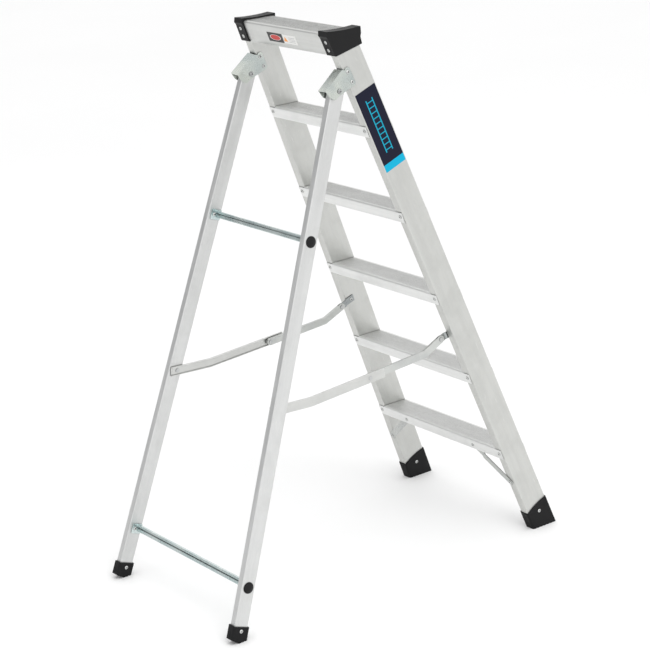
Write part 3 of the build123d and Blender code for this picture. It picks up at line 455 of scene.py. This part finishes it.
@dataclass(frozen=True)
class DrawnAluminium:
    """Mill-finish aluminium section with lines along its length, a painted highlight along its
    edges and painted shade in its corners and grooves.

    Attributes:
        name: the material's name.
        grain: the way its lines run.
        colour: its colour where clean.
        roughness: its mean roughness.
        dust: how much dust lies on it.
        grime: how dark the painted shade in its corners and grooves is.
    """

    name: str
    grain: Grain
    colour: Colour = (0.60, 0.605, 0.585)
    roughness: float = 0.36
    dust: float = 0.2
    grime: float = 0.55

    def make(self) -> bpy.types.Material:
        """Build the material.

        Returns:
            The finished material.
        """
        s = Surface(self.name)
        place = s.placed(self.grain.value)
        lines = s.effect("die_lines", Vector=place, Pitch=1100.0)
        marks = s.effect("handling_marks", Vector=place, Density=0.8)
        edges = s.effect("edge_rub", Vector=place, Reach=0.0022).outputs[0]
        dust = s.effect("settled_dust", Vector=place, Amount=self.dust).outputs[0]
        pale = tuple(min(1.0, c * 1.1) for c in self.colour)
        dull = tuple(c * 0.93 for c in self.colour)
        colour = s.mix(lines.outputs["Streaks"], dull, self.colour)
        colour = s.mix(s.math("MULTIPLY", lines.outputs["Lines"], 0.35), colour, pale)
        handled = tuple(c * 0.88 for c in self.colour)
        colour = s.mix(s.math("MULTIPLY", marks.outputs["Smudges"], 0.3), colour, handled)
        colour = s.mix(marks.outputs["Scratches"], colour, ALUMINIUM_SCRATCH)
        # painted highlight: the edges and corners are lightened as if they caught the light
        colour = s.mix(s.math("MULTIPLY", edges, 0.75), colour, ALUMINIUM_EDGE_HIGHLIGHT)
        colour = s.mix(dust, colour, ALUMINIUM_DUST)
        # painted shade: ambient occlusion darkens the corners and grooves
        grime = s.effect("recess_grime", Reach=PAINTED_SHADE_REACH, Amount=self.grime).outputs[0]
        colour = s.mix(grime, colour, ALUMINIUM_PAINTED_SHADE)
        rough = s.math("ADD", self.roughness, s.math("MULTIPLY", lines.outputs["Streaks"], 0.07))
        rough = s.math("ADD", rough, s.math("MULTIPLY", marks.outputs["Smudges"], 0.08))
        rough = s.math("ADD", rough, s.math("MULTIPLY", dust, 0.3))
        metal = s.math("SUBTRACT", 1.0, dust)
        s.feed(Base_Color=colour, Roughness=rough, Metallic=metal, Anisotropic=0.35)
        s.bump(s.math("ADD", lines.outputs["Lines"], marks.outputs["Scratches"]), 0.22, 0.00005)
        return s.material


@dataclass(frozen=True)
class ZincPlate:
    """Zinc-plated pressed steel with a faint blue-green cast and cloudy plating, a painted
    highlight along its edges and painted shade in its recesses.
    """

    name: str
    colour: Colour = (0.43, 0.475, 0.465)
    cast: Colour = (0.60, 0.63, 0.58)
    roughness: float = 0.2
    # how dark the painted shade in its recesses is
    grime: float = 0.7

    def make(self) -> bpy.types.Material:
        """Build the material.

        Returns:
            The finished material.
        """
        s = Surface(self.name)
        place = s.placed()
        clouds = s.ramp(s.noise(place, 12.0, 2.0, 0.5), 0.35, 0.65)
        crystals = s.node("ShaderNodeTexVoronoi", {"Vector": place, "Scale": 420.0})
        flake = s.node("ShaderNodeSeparateColor", {0: crystals.outputs["Color"]}).outputs[0]
        marks = s.effect("handling_marks", Vector=place, Density=1.0)
        edges = s.effect("edge_rub", Vector=place, Reach=0.0007).outputs[0]
        dust = s.effect("settled_dust", Vector=place, Amount=0.2).outputs[0]
        colour = s.mix(clouds, self.colour, self.cast)
        colour = s.mix(s.math("MULTIPLY", flake, 0.12), colour, ZINC_FLAKE)
        scratched = s.math("MULTIPLY", marks.outputs["Scratches"], 0.8)
        colour = s.mix(scratched, colour, ZINC_SCRATCH)
        # painted highlight: the edges are lightened
        colour = s.mix(s.math("MULTIPLY", edges, 0.4), colour, ZINC_EDGE_HIGHLIGHT)
        colour = s.mix(dust, colour, ZINC_DUST)
        # painted shade: ambient occlusion darkens the recesses
        grime = s.effect("recess_grime", Reach=PAINTED_SHADE_REACH, Amount=self.grime).outputs[0]
        colour = s.mix(grime, colour, ZINC_PAINTED_SHADE)
        rough = s.math("ADD", self.roughness, s.math("MULTIPLY", flake, 0.08))
        rough = s.math("ADD", rough, s.math("MULTIPLY", marks.outputs["Smudges"], 0.14))
        s.feed(Base_Color=colour, Roughness=rough, Metallic=0.95)
        height = s.math("ADD", s.math("MULTIPLY", flake, 0.4), marks.outputs["Scratches"])
        s.bump(height, 0.15, 0.00005)
        return s.material


@dataclass(frozen=True)
class Moulding:
    """Black moulded plastic or rubber with grain, scuffs and pale rubbed edges.

    Attributes:
        name: the material's name.
        colour: its colour where clean.
        roughness: its mean roughness.
        grain: cells of its grain to the metre.
        scuff: how strongly its edges and marks turn pale.
        dust: how much dust lies on it.
    """

    name: str
    colour: Colour = (0.004, 0.004, 0.0045)
    roughness: float = 0.5
    grain: float = 1100.0
    scuff: float = 0.35
    dust: float = 0.3

    def make(self) -> bpy.types.Material:
        """Build the material.

        Returns:
            The finished material.
        """
        s = Surface(self.name)
        place = s.placed()
        grain = s.effect("moulded_grain", Vector=place, Scale=self.grain).outputs[0]
        marks = s.effect("handling_marks", Vector=place, Density=1.0)
        edges = s.effect("edge_rub", Vector=place, Reach=0.0012).outputs[0]
        dust = s.effect("settled_dust", Vector=place, Amount=self.dust).outputs[0]
        worn = s.math("MULTIPLY", s.math("MAXIMUM", edges, marks.outputs["Scratches"]), self.scuff)
        smudged = s.math("MULTIPLY", marks.outputs["Smudges"], 0.5)
        colour = s.mix(smudged, self.colour, MOULDING_SMUDGE)
        colour = s.mix(worn, colour, MOULDING_WORN)
        colour = s.mix(s.math("MULTIPLY", dust, 0.25), colour, MOULDING_DUST)
        rough = s.math("ADD", self.roughness, s.math("MULTIPLY", marks.outputs["Smudges"], 0.15))
        s.feed(Base_Color=colour, Roughness=rough, Specular_IOR_Level=0.25)
        s.bump(grain, 0.3, 0.00012)
        return s.material


@dataclass(frozen=True)
class TurnedMetal:
    """Bright small metal pieces: pins, rivets and screws, with a painted highlight along their
    edges and nearly black painted shade in their bores and sockets.
    """

    name: str
    colour: Colour
    roughness: float = 0.28

    def make(self) -> bpy.types.Material:
        """Build the material.

        Returns:
            The finished material.
        """
        s = Surface(self.name)
        place = s.placed()
        spots = s.ramp(s.noise(place, 300.0, 3.0), 0.4, 0.7)
        edges = s.effect("edge_rub", Vector=place, Reach=0.0004).outputs[0]
        marks = s.effect("handling_marks", Vector=place, Density=1.0)
        tarnish = tuple(c * 0.7 for c in self.colour)
        colour = s.mix(s.math("MULTIPLY", spots, 0.4), self.colour, tarnish)
        # painted highlight: the edges are lightened
        colour = s.mix(s.math("MULTIPLY", edges, 0.5), colour, PIN_EDGE_HIGHLIGHT)
        # painted shade: ambient occlusion darkens bores and sockets nearly to black
        grime = s.effect("recess_grime", Reach=PAINTED_SHADE_REACH, Amount=0.97).outputs[0]
        colour = s.mix(grime, colour, PIN_PAINTED_SHADE)
        rough = s.math("ADD", self.roughness, s.math("MULTIPLY", spots, 0.15))
        s.feed(Base_Color=colour, Roughness=rough, Metallic=1.0)
        s.bump(s.math("ADD", spots, marks.outputs["Scratches"]), 0.15, 0.00004)
        return s.material


@dataclass(frozen=True)
class SideFilm:
    """Dark printed film on the stile, with a bright band and a plain ladder sign.

    Attributes:
        name: the material's name.
        foot: distance up the stile to the film's lower edge.
        length: the film's length.
        band: length of its bright band.
        middle: level place of the stile's middle line at the floor.
    """

    name: str
    foot: float
    length: float
    band: float
    middle: float

    def make(self) -> bpy.types.Material:
        """Build the material.

        Returns:
            The finished material.
        """
        s = Surface(self.name)
        place = s.placed(Grain.UP_CLIMBING_STILE.value)
        parts = s.node("ShaderNodeSeparateXYZ", {0: place})
        across = s.math("SUBTRACT", parts.outputs["Y"], self.middle)
        up = s.math("SUBTRACT", parts.outputs["Z"], self.foot)
        blue = s.math("LESS_THAN", up, self.band)
        sign = self.sign(s, across, up)
        marks = s.effect("handling_marks", Vector=place, Density=0.5)
        colour = s.mix(sign, FILM_DARK, SIGN_BLUE)
        colour = s.mix(blue, colour, BAND_BLUE)
        scratched = s.math("MULTIPLY", marks.outputs["Scratches"], 0.25)
        colour = s.mix(scratched, colour, FILM_SCRATCH)
        rough = s.math("ADD", 0.3, s.math("MULTIPLY", marks.outputs["Smudges"], 0.14))
        s.feed(Base_Color=colour, Roughness=rough, Specular_IOR_Level=0.16)
        s.bump(s.noise(place, 500.0, 2.0), 0.05, 0.0001)
        return s.material

    def sign(self, s: Surface, across: Socket, up: Socket) -> Socket:
        """Mask of two rails with rungs between them, leaning to a peak.

        Args:
            s: the material under construction.
            across: distance from the film's middle line.
            up: distance up from the film's foot.

        Returns:
            The mask's socket.
        """
        rail, half, gap = 0.0026, 0.0115, 0.015
        foot, head = self.band + 0.026, self.length - 0.028
        spread = s.math("ABSOLUTE", across)
        span = s.between(up, foot, head)
        rails = s.between(spread, half - rail, half + rail * 0.2)
        step = s.math("MODULO", s.math("SUBTRACT", up, foot), gap)
        rung = s.between(step, gap * 0.38, gap * 0.38 + rail)
        rungs = s.math("MULTIPLY", rung, s.math("LESS_THAN", spread, half))
        return s.math("MULTIPLY", s.math("MAXIMUM", rails, rungs), span)


@dataclass(frozen=True)
class RearFilm:
    """Pale notice film on the platform's rear flange: a red oval on black, a triangle and rules.

    Attributes:
        name: the material's name.
        middle: height of the film's middle up the slope of the flange.
        centre: place of its middle across the ladder.
        half_length: half of its length across the ladder.
        half_height: half of its height.
    """

    name: str
    middle: float
    centre: float
    half_length: float
    half_height: float

    def make(self) -> bpy.types.Material:
        """Build the material.

        Returns:
            The finished material.
        """
        s = Surface(self.name)
        place = s.placed(Grain.UP_CLIMBING_STILE.value)
        parts = s.node("ShaderNodeSeparateXYZ", {0: place})
        across = s.math("SUBTRACT", parts.outputs["X"], self.centre)
        up = s.math("SUBTRACT", parts.outputs["Z"], self.middle)
        panel = s.between(across, -0.004, self.half_length)
        from_oval = s.math("SUBTRACT", across, self.half_length * 0.48)
        right = s.math("DIVIDE", from_oval, self.half_length * 0.38)
        rise = s.math("DIVIDE", up, self.half_height * 0.62)
        reach = s.math("ADD", s.math("MULTIPLY", right, right), s.math("MULTIPLY", rise, rise))
        oval = s.math("LESS_THAN", reach, 1.0)
        ring = s.between(reach, 0.82, 1.0)
        lean = s.math("MULTIPLY", s.math("ABSOLUTE", s.math("ADD", across, 0.014)), 1.7)
        height = s.math("ADD", lean, up)
        below_sides = s.math("LESS_THAN", height, 0.007)
        triangle = s.math("MULTIPLY", below_sides, s.math("GREATER_THAN", up, -0.007))
        triangle = s.math("MULTIPLY", triangle, s.between(across, -0.026, -0.004))
        rules = s.math("LESS_THAN", s.math("MODULO", s.math("ADD", up, 0.05), 0.0042), 0.0012)
        rules = s.math("MULTIPLY", rules, s.between(across, -0.055, -0.028))
        rules = s.math("MULTIPLY", rules, s.between(up, -0.008, 0.008))
        colour = s.mix(panel, NOTICE_PALE, NOTICE_BLACK)
        colour = s.mix(oval, colour, NOTICE_RED)
        colour = s.mix(ring, colour, NOTICE_RING)
        colour = s.mix(triangle, colour, NOTICE_ORANGE)
        colour = s.mix(rules, colour, NOTICE_RULE)
        marks = s.effect("handling_marks", Vector=place, Density=0.4)
        rough = s.math("ADD", 0.3, s.math("MULTIPLY", marks.outputs["Smudges"], 0.15))
        s.feed(Base_Color=colour, Roughness=rough)
        s.bump(s.noise(place, 500.0, 2.0), 0.05, 0.0001)
        return s.material


# ---------------------------------------------------------------- modelling helpers


def start_piece(name: str) -> None:
    """Deselect everything, so that an operator acts on the new piece alone.

    Args:
        name: the piece's name.
    """
    if bpy.context.object is not None and bpy.context.object.mode != "OBJECT":
        bpy.ops.object.mode_set(mode="OBJECT")
    bpy.ops.object.select_all(action="DESELECT")
    log.info("piece %s", name)


def finish_piece(
    name: str, matrix: Matrix, body: str, material: bpy.types.Material
) -> None:
    """Put the modelled object in place and let it ride.

    Args:
        name: the piece's name.
        matrix: where the piece goes, from its own axes to the ladder's.
        body: the body it rides on.
        material: its finish.
    """
    piece = bpy.context.object
    if piece.mode != "OBJECT":
        bpy.ops.object.mode_set(mode="OBJECT")
    piece.name = name
    piece.data.name = name
    piece.matrix_world = matrix @ piece.matrix_world
    bpy.ops.object.transform_apply(location=True, rotation=True, scale=True)
    bpy.ops.object.mode_set(mode="EDIT")
    bpy.ops.mesh.select_all(action="SELECT")
    bpy.ops.mesh.remove_doubles(threshold=WELD_DISTANCE)
    bpy.ops.mesh.normals_make_consistent(inside=False)
    bpy.ops.object.mode_set(mode="OBJECT")
    piece.data.materials.clear()
    piece.data.materials.append(material)
    bpy.ops.object.shade_smooth_by_angle(angle=SMOOTH_BELOW)
    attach(piece, body)


def select_faces(piece: bpy.types.Object, wanted: Callable[[Vector, Vector], bool]) -> None:
    """Select faces of a mesh in edit mode.

    Args:
        piece: the object being modelled.
        wanted: the test that a face's centre and normal have to pass.
    """
    bpy.ops.mesh.select_all(action="DESELECT")
    bpy.ops.object.mode_set(mode="OBJECT")
    for polygon in piece.data.polygons:
        polygon.select = wanted(polygon.center, polygon.normal)
    bpy.ops.object.mode_set(mode="EDIT")
    bpy.ops.mesh.select_mode(type="FACE")


def turned(place: Vector, axis: Vector, up: Vector = Vector((0, 0, 1))) -> Matrix:
    """Matrix that stands a piece's own Z along an axis.

    Args:
        place: where the piece's origin goes.
        axis: the way its Z points.
        up: the way its Y points, as nearly as the axis allows.

    Returns:
        The matrix from the piece's axes to the ladder's.
    """
    z = axis.normalized()
    x = up.cross(z).normalized()
    y = z.cross(x)
    return Matrix.Translation(place) @ Matrix((x, y, z)).transposed().to_4x4()


# ---------------------------------------------------------------- the ladder


@dataclass
class LeaningSide:
    """One leaning pair of stiles: turns heights into places on their faces.

    Attributes:
        lean: the stiles' slope from upright, towards +Y at the top.
        taper: how much each stile comes in for each metre up.
        foot_half: half of the outside width at the floor.
        middle_foot: level place of the stiles' middle line at the floor.
        width: a stile's width across the ladder.
        depth: a stile's depth, square to its length.
    """

    lean: float
    taper: float
    foot_half: float
    middle_foot: float
    width: float
    depth: float

    def middle(self, side: Side, z: float) -> Vector:
        """Middle of a stile at a height."""
        x = side.value * (self.foot_half - self.taper * z - self.width / 2)
        return Vector((x, self.middle_foot + z * tan(self.lean), z))

    def up(self, side: Side) -> Vector:
        """Direction up along a stile."""
        return Vector((-side.value * self.taper, tan(self.lean), 1.0)).normalized()

    def back(self) -> Vector:
        """Direction out of the stiles' rear faces."""
        return Vector((0.0, cos(self.lean), -sin(self.lean)))

    def out(self, side: Side) -> Vector:
        """Direction out of a stile's outer face."""
        return Vector((side.value, 0.0, self.taper)).normalized()


def climbing_side() -> LeaningSide:
    """The climbing frame's stiles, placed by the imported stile.

    Returns:
        The climbing side.
    """
    lean, depth, boot_base = radians(20.13), 0.075, 0.008
    low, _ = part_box("front_stile_right")
    middle = low.y - boot_base * tan(lean) + depth / cos(lean) / 2
    return LeaningSide(
        lean, taper=0.061, foot_half=0.28625, middle_foot=middle, width=0.0275, depth=depth
    )


def rear_side() -> LeaningSide:
    """The rear frame's stiles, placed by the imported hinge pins.

    Returns:
        The rear side.
    """
    lean = radians(-20.19)
    low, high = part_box("hinge_pins")
    hinge = (low + high) / 2
    middle = hinge.y - hinge.z * tan(lean)
    return LeaningSide(
        lean, taper=0.0644, foot_half=0.2872, middle_foot=middle, width=0.0204, depth=0.040
    )


@dataclass
class MouldSeams:
    """Fine raised parting lines up the front and rear of the four boots.

    Attributes:
        width: the seam's width.
        rise: how far it stands proud.
        foot: height of its lower end above the floor.
        heel: height that the rear boots' heels stand off the floor.
    """

    width: float = 0.0012
    rise: float = 0.0006
    foot: float = 0.003
    heel: float = 0.016

    def seam(
        self,
        name: str,
        start: Vector,
        up: Vector,
        out: Vector,
        length: float,
        body: str,
        material: bpy.types.Material,
    ) -> None:
        """Model one seam: a strip with rounded shoulders and tapered ends.

        Args:
            name: the piece's name.
            start: its lower end, on the boot's face.
            up: the way it runs.
            out: out of the face.
            length: its length.
            body: the body it rides on.
            material: its finish.
        """
        start_piece(name)
        bpy.ops.mesh.primitive_cube_add(size=1.0)
        strip = bpy.context.object
        strip.scale = (self.width, length, 2 * self.rise)
        bpy.ops.object.transform_apply(location=False, rotation=False, scale=True)
        bpy.ops.object.mode_set(mode="EDIT")
        select_faces(strip, lambda centre, normal: normal.z > FACES_OUT)
        bpy.ops.mesh.inset(thickness=self.width * 0.3)
        bpy.ops.transform.translate(value=(0, 0, self.rise * 0.25))
        bpy.ops.mesh.select_all(action="SELECT")
        bpy.ops.mesh.bevel(offset=self.rise * 0.2, segments=2, affect="EDGES")
        middle = start + up * (length / 2)
        finish_piece(name, turned(middle, out, up), body, material)

    def build(self, front: LeaningSide, rear: LeaningSide, material: bpy.types.Material) -> None:
        """Model the seams of all four boots.

        Args:
            front: the climbing frame's stiles.
            rear: the rear frame's stiles.
            material: the boots' finish.
        """
        for side in Side:
            word = side.name.lower()
            for stiles, body, boot, wall, length in (
                (front, "front_frame", "front_boot", 0.003, 0.040),
                (rear, "rear_frame", "rear_boot", 0.005, 0.030),
            ):
                for face, sign in (("front", -1), ("rear", 1)):
                    out = stiles.back() * sign
                    reach = stiles.depth / 2 + wall
                    heel = self.heel if stiles is rear and sign > 0 else 0.0
                    start = stiles.middle(side, self.foot + heel - out.z * reach) + out * reach
                    run = length - heel
                    name = f"{boot}_seam_{face}_{word}"
                    self.seam(name, start, stiles.up(side), out, run, body, material)


@dataclass
class CapScrews:
    """Small socket-headed screws that hold the platform caps, on the stiles' outer faces.

    Attributes:
        radius: the head's radius.
        rise: the head's height.
        height: height of the screws above the floor.
        forward: distance of the screws in front of the stile's middle line.
    """

    radius: float = 0.0032
    rise: float = 0.0014
    height: float = 1.4135
    forward: float = 0.027

    def build(self, front: LeaningSide, material: bpy.types.Material) -> None:
        """Model the screw of each stile.

        Args:
            front: the climbing frame's stiles.
            material: the screws' finish.
        """
        for side in Side:
            name = f"cap_screw_{side.name.lower()}"
            start_piece(name)
            bpy.ops.mesh.primitive_cylinder_add(
                vertices=24, radius=self.radius, depth=2 * self.rise
            )
            head = bpy.context.object
            bpy.ops.object.mode_set(mode="EDIT")
            select_faces(head, lambda centre, normal: normal.z > FACES_OUT)
            bpy.ops.mesh.inset(thickness=self.radius * 0.28)
            bpy.ops.transform.translate(value=(0, 0, self.rise * 0.35))
            bpy.ops.mesh.inset(thickness=self.radius * 0.3)
            bpy.ops.mesh.inset(thickness=self.radius * 0.08)
            sunk = (0, 0, -self.rise * 0.9)
            bpy.ops.mesh.extrude_region_move(TRANSFORM_OT_translate={"value": sunk})
            bpy.ops.transform.resize(value=(0.5, 0.5, 1))
            out = front.out(side)
            place = front.middle(side, self.height) - front.back() * self.forward
            place += out * (front.width / 2)
            matrix = turned(place, out, front.up(side))
            finish_piece(name, matrix, "front_frame", material)


@dataclass
class PinEyes:
    """Turned eyes in the ends of the hinge pins: a raised ring round a bore, which the pins' finish
    darkens with painted shade.

    Attributes:
        radius: the ring's outer radius.
        wall: the ring's thickness.
        rise: how far it stands off the pin's head.
        bore: how deep the bore goes below the ring.
        hinge_height: height of the hinge axis.
    """

    radius: float = 0.0042
    wall: float = 0.0016
    rise: float = 0.0014
    bore: float = 0.0013
    hinge_height: float = 1.3196

    def build(self, front: LeaningSide, material: bpy.types.Material) -> None:
        """Model an eye on both ends of both pins.

        Args:
            front: the climbing frame's stiles.
            material: the pins' finish.
        """
        low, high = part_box("hinge_pins")
        for side in Side:
            middle = front.middle(side, self.hinge_height).x
            reach = high.x - abs(middle)
            for end, sign in (("outer", 1), ("inner", -1)):
                name = f"hinge_pin_eye_{end}_{side.name.lower()}"
                start_piece(name)
                bpy.ops.mesh.primitive_cylinder_add(
                    vertices=28, radius=self.radius, depth=2 * self.rise
                )
                eye = bpy.context.object
                bpy.ops.object.mode_set(mode="EDIT")
                select_faces(eye, lambda centre, normal: normal.z > FACES_OUT)
                bpy.ops.mesh.inset(thickness=self.wall * 0.3)
                bpy.ops.transform.translate(value=(0, 0, self.rise * 0.3))
                bpy.ops.mesh.inset(thickness=self.wall * 0.4)
                bpy.ops.mesh.inset(thickness=self.wall * 0.3)
                bpy.ops.transform.translate(value=(0, 0, -self.rise * 0.3))
                bored = (0, 0, -self.bore)
                bpy.ops.mesh.extrude_region_move(TRANSFORM_OT_translate={"value": bored})
                out = Vector((side.value * sign, 0, 0))
                place = Vector((middle, (low.y + high.y) / 2, self.hinge_height)) + out * reach
                finish_piece(name, turned(place, out), "front_frame", material)


@dataclass
class Dressing:
    """Gives every node of the frame the finish of its material slot.

    Attributes:
        front: the climbing frame's stiles.
        film_foot: distance up the stile's rear edge to the side film's lower edge.
        finishes: the finish of each material slot.
    """

    front: LeaningSide
    film_foot: float = 1.158
    finishes: dict = field(default_factory=dict)

    def __post_init__(self) -> None:
        """Choose each slot's finish."""
        rear_low, rear_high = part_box("platform_label")
        centre = (rear_low + rear_high) / 2
        middle = centre.z * cos(self.front.lean) + centre.y * sin(self.front.lean)
        side_middle = self.front.middle_foot * cos(self.front.lean)
        side_foot = self.film_foot + self.front_origin() * sin(self.front.lean)
        aluminium = DrawnAluminium
        # treads and platform: weaker painted shade in their grooves
        trodden = {"roughness": 0.38, "dust": 0.12, "grime": 0.45}
        chosen = {
            "stile_aluminium": aluminium("stile_aluminium_drawn", Grain.UP_CLIMBING_STILE),
            "rear_stile_aluminium": aluminium(
                "rear_stile_aluminium_drawn", Grain.UP_REAR_STILE, (0.67, 0.675, 0.67)
            ),
            "tread_aluminium": aluminium(
                "tread_aluminium_drawn", Grain.ACROSS, (0.78, 0.785, 0.775), **trodden
            ),
            "platform_aluminium": aluminium(
                "platform_aluminium_drawn", Grain.ACROSS, (0.64, 0.645, 0.63), **trodden
            ),
            "rear_stay_aluminium": aluminium(
                "stay_aluminium_drawn", Grain.ALONG_STAY, (0.62, 0.625, 0.61)
            ),
            "cap_plastic": Moulding("cap_plastic_moulded"),
            "boot_rubber": Moulding("boot_rubber_moulded", roughness=0.62, grain=700.0, dust=0.5),
            "plug_plastic": Moulding("plug_plastic_moulded", roughness=0.42, scuff=0.2),
            "washer_plastic": Moulding("washer_plastic_moulded", (0.02, 0.02, 0.02)),
            "bracket_steel": ZincPlate("bracket_zinc_plate"),
            # crossbars: weaker painted shade
            "crossbar_steel": ZincPlate(
                "crossbar_zinc_plate", (0.50, 0.60, 0.60), (0.66, 0.73, 0.72), grime=0.25
            ),
            "lug_steel": ZincPlate("lug_zinc_plate", (0.24, 0.26, 0.27), (0.34, 0.36, 0.36)),
            "strap_steel": ZincPlate("strap_zinc_plate", (0.46, 0.47, 0.46), (0.52, 0.53, 0.51)),
            "front_stay_steel": ZincPlate(
                "front_stay_zinc_plate", (0.50, 0.51, 0.50), (0.58, 0.59, 0.57), 0.32
            ),
            "pin_steel": TurnedMetal("pin_steel_turned", (0.55, 0.56, 0.56)),
            "rivet_aluminium": TurnedMetal("rivet_aluminium_set", (0.6, 0.61, 0.6), 0.32),
            "side_label": SideFilm(
                "side_label_film", side_foot, length=0.224, band=0.020, middle=side_middle
            ),
            "platform_label": RearFilm(
                "platform_label_film", middle, centre.x, half_length=0.062, half_height=0.013
            ),
        }
        self.finishes = {slot: finish.make() for slot, finish in chosen.items()}

    def front_origin(self) -> float:
        """Level place of the stiles' rear face at the floor."""
        return self.front.middle_foot + self.front.depth / cos(self.front.lean) / 2

    def dress(self) -> None:
        """Put the finishes on the nodes."""
        for part in frame["record"]["subparts"]:
            node = frame["nodes"][part["node"]]
            node.data.materials.clear()
            node.data.materials.append(self.finishes[part["material_slot"]])
            log.info("node %s wears %s", part["node"], part["material_slot"])


@dataclass
class Studio:
    """Pale floor, soft daylight and the camera.

    Attributes:
        floor_size: the floor's side.
        eye: the camera's place.
        right: the camera's own right.
        forward: the way it looks.
        lens: its focal length in millimetres on a 36 mm sensor.
        sky_strength: brightness of the light from all round.
        shaded_way: direction of the dark end of the studio.
        shade: colour of that end.
        shade_spread: how near that direction the shade starts and is full, as cosines.
        aim: the place that the light panels face.
    """

    floor_size: float = 80.0
    sky_strength: float = 1.08
    shaded_way: Vector = field(default_factory=lambda: Vector((0.77, 0.63, 0.14)))
    shade: Colour = (0.4, 0.405, 0.41)
    shade_spread: tuple[float, float] = (0.72, 0.99)
    aim: Vector = field(default_factory=lambda: Vector((0, 0, 0.75)))
    eye: Vector = field(default_factory=lambda: Vector((-4.2988, 3.0917, 2.3371)))
    right: Vector = field(default_factory=lambda: Vector((-0.60024, -0.79723, -0.06438)))
    forward: Vector = field(default_factory=lambda: Vector((0.77284, -0.55737, -0.30342)))
    lens: float = 115.03

    def floor(self) -> None:
        """Lay the floor."""
        start_piece("studio_floor")
        bpy.ops.mesh.primitive_plane_add(size=self.floor_size)
        floor = bpy.context.object
        floor.name = "studio_floor"
        s = Surface("studio_floor_paper")
        tone = s.ramp(s.noise(s.placed(), 0.6, 2.0), 0.3, 0.7)
        s.feed(Base_Color=s.mix(tone, (0.925, 0.925, 0.925), (0.935, 0.935, 0.935)), Roughness=0.9)
        floor.data.materials.append(s.material)

    def sky(self) -> None:
        """Light everything from all round, with a darker end that only lights the ladder."""
        world = bpy.data.worlds.new("studio_light")
        world.use_nodes = True
        tree = Tree(world.node_tree)
        background = world.node_tree.nodes["Background"]
        way = tree.node("ShaderNodeTexCoord").outputs["Generated"]
        towards = self.shaded_way.normalized()
        match = tree.node("ShaderNodeVectorMath", {0: way, 1: towards}, operation="DOT_PRODUCT")
        shade = tree.ramp(match.outputs["Value"], *self.shade_spread)
        seen = tree.node("ShaderNodeLightPath").outputs["Is Camera Ray"]
        shade = tree.math("MULTIPLY", shade, tree.math("SUBTRACT", 1.0, seen))
        colour = tree.mix(shade, (1.0, 1.0, 1.0), self.shade)
        world.node_tree.links.new(colour, background.inputs["Color"])
        background.inputs["Strength"].default_value = self.sky_strength
        bpy.context.scene.world = world

    def panel(self, name: str, place: Vector, size: float, power: float) -> None:
        """Hang a soft light panel that faces the ladder.

        Args:
            name: the panel's name.
            place: where it hangs.
            size: its side.
            power: its power in watts.
        """
        light = bpy.data.lights.new(name, "AREA")
        light.shape = "SQUARE"
        light.size = size
        light.energy = power
        panel = bpy.data.objects.new(name, light)
        panel.location = place
        panel.rotation_mode = "QUATERNION"
        panel.rotation_quaternion = (place - self.aim).to_track_quat("Z", "Y")
        bpy.context.scene.collection.objects.link(panel)

    def camera(self) -> None:
        """Set the camera."""
        lens = bpy.data.cameras.new("studio_camera")
        lens.lens = self.lens
        lens.sensor_width = 36.0
        lens.clip_end = 200.0
        camera = bpy.data.objects.new("studio_camera", lens)
        forward = self.forward.normalized()
        up = self.right.cross(forward).normalized()
        right = forward.cross(up)
        turn = Matrix((right, up, -forward)).transposed().to_4x4()
        camera.matrix_world = Matrix.Translation(self.eye) @ turn
        bpy.context.scene.collection.objects.link(camera)
        bpy.context.scene.camera = camera

    def build(self) -> None:
        """Set up the whole studio."""
        self.floor()
        self.sky()
        self.panel("key_panel", Vector((-3.5, 0.5, 4.5)), 3.0, 70.0)
        self.panel("fill_panel", Vector((1.0, 5.0, 2.5)), 3.0, 8.0)
        self.camera()
        bpy.context.scene.view_settings.view_transform = "Standard"


def main() -> None:
    """Build the ladder's looks and the studio in order."""
    logging.basicConfig(level=logging.INFO, format="%(message)s")
    Studio().build()
    front, rear = climbing_side(), rear_side()
    dressing = Dressing(front)
    dressing.dress()
    MouldSeams().build(front, rear, dressing.finishes["boot_rubber"])
    CapScrews().build(front, dressing.finishes["rivet_aluminium"])
    PinEyes().build(front, dressing.finishes["pin_steel"])


if __name__ == "__main__":
    main()
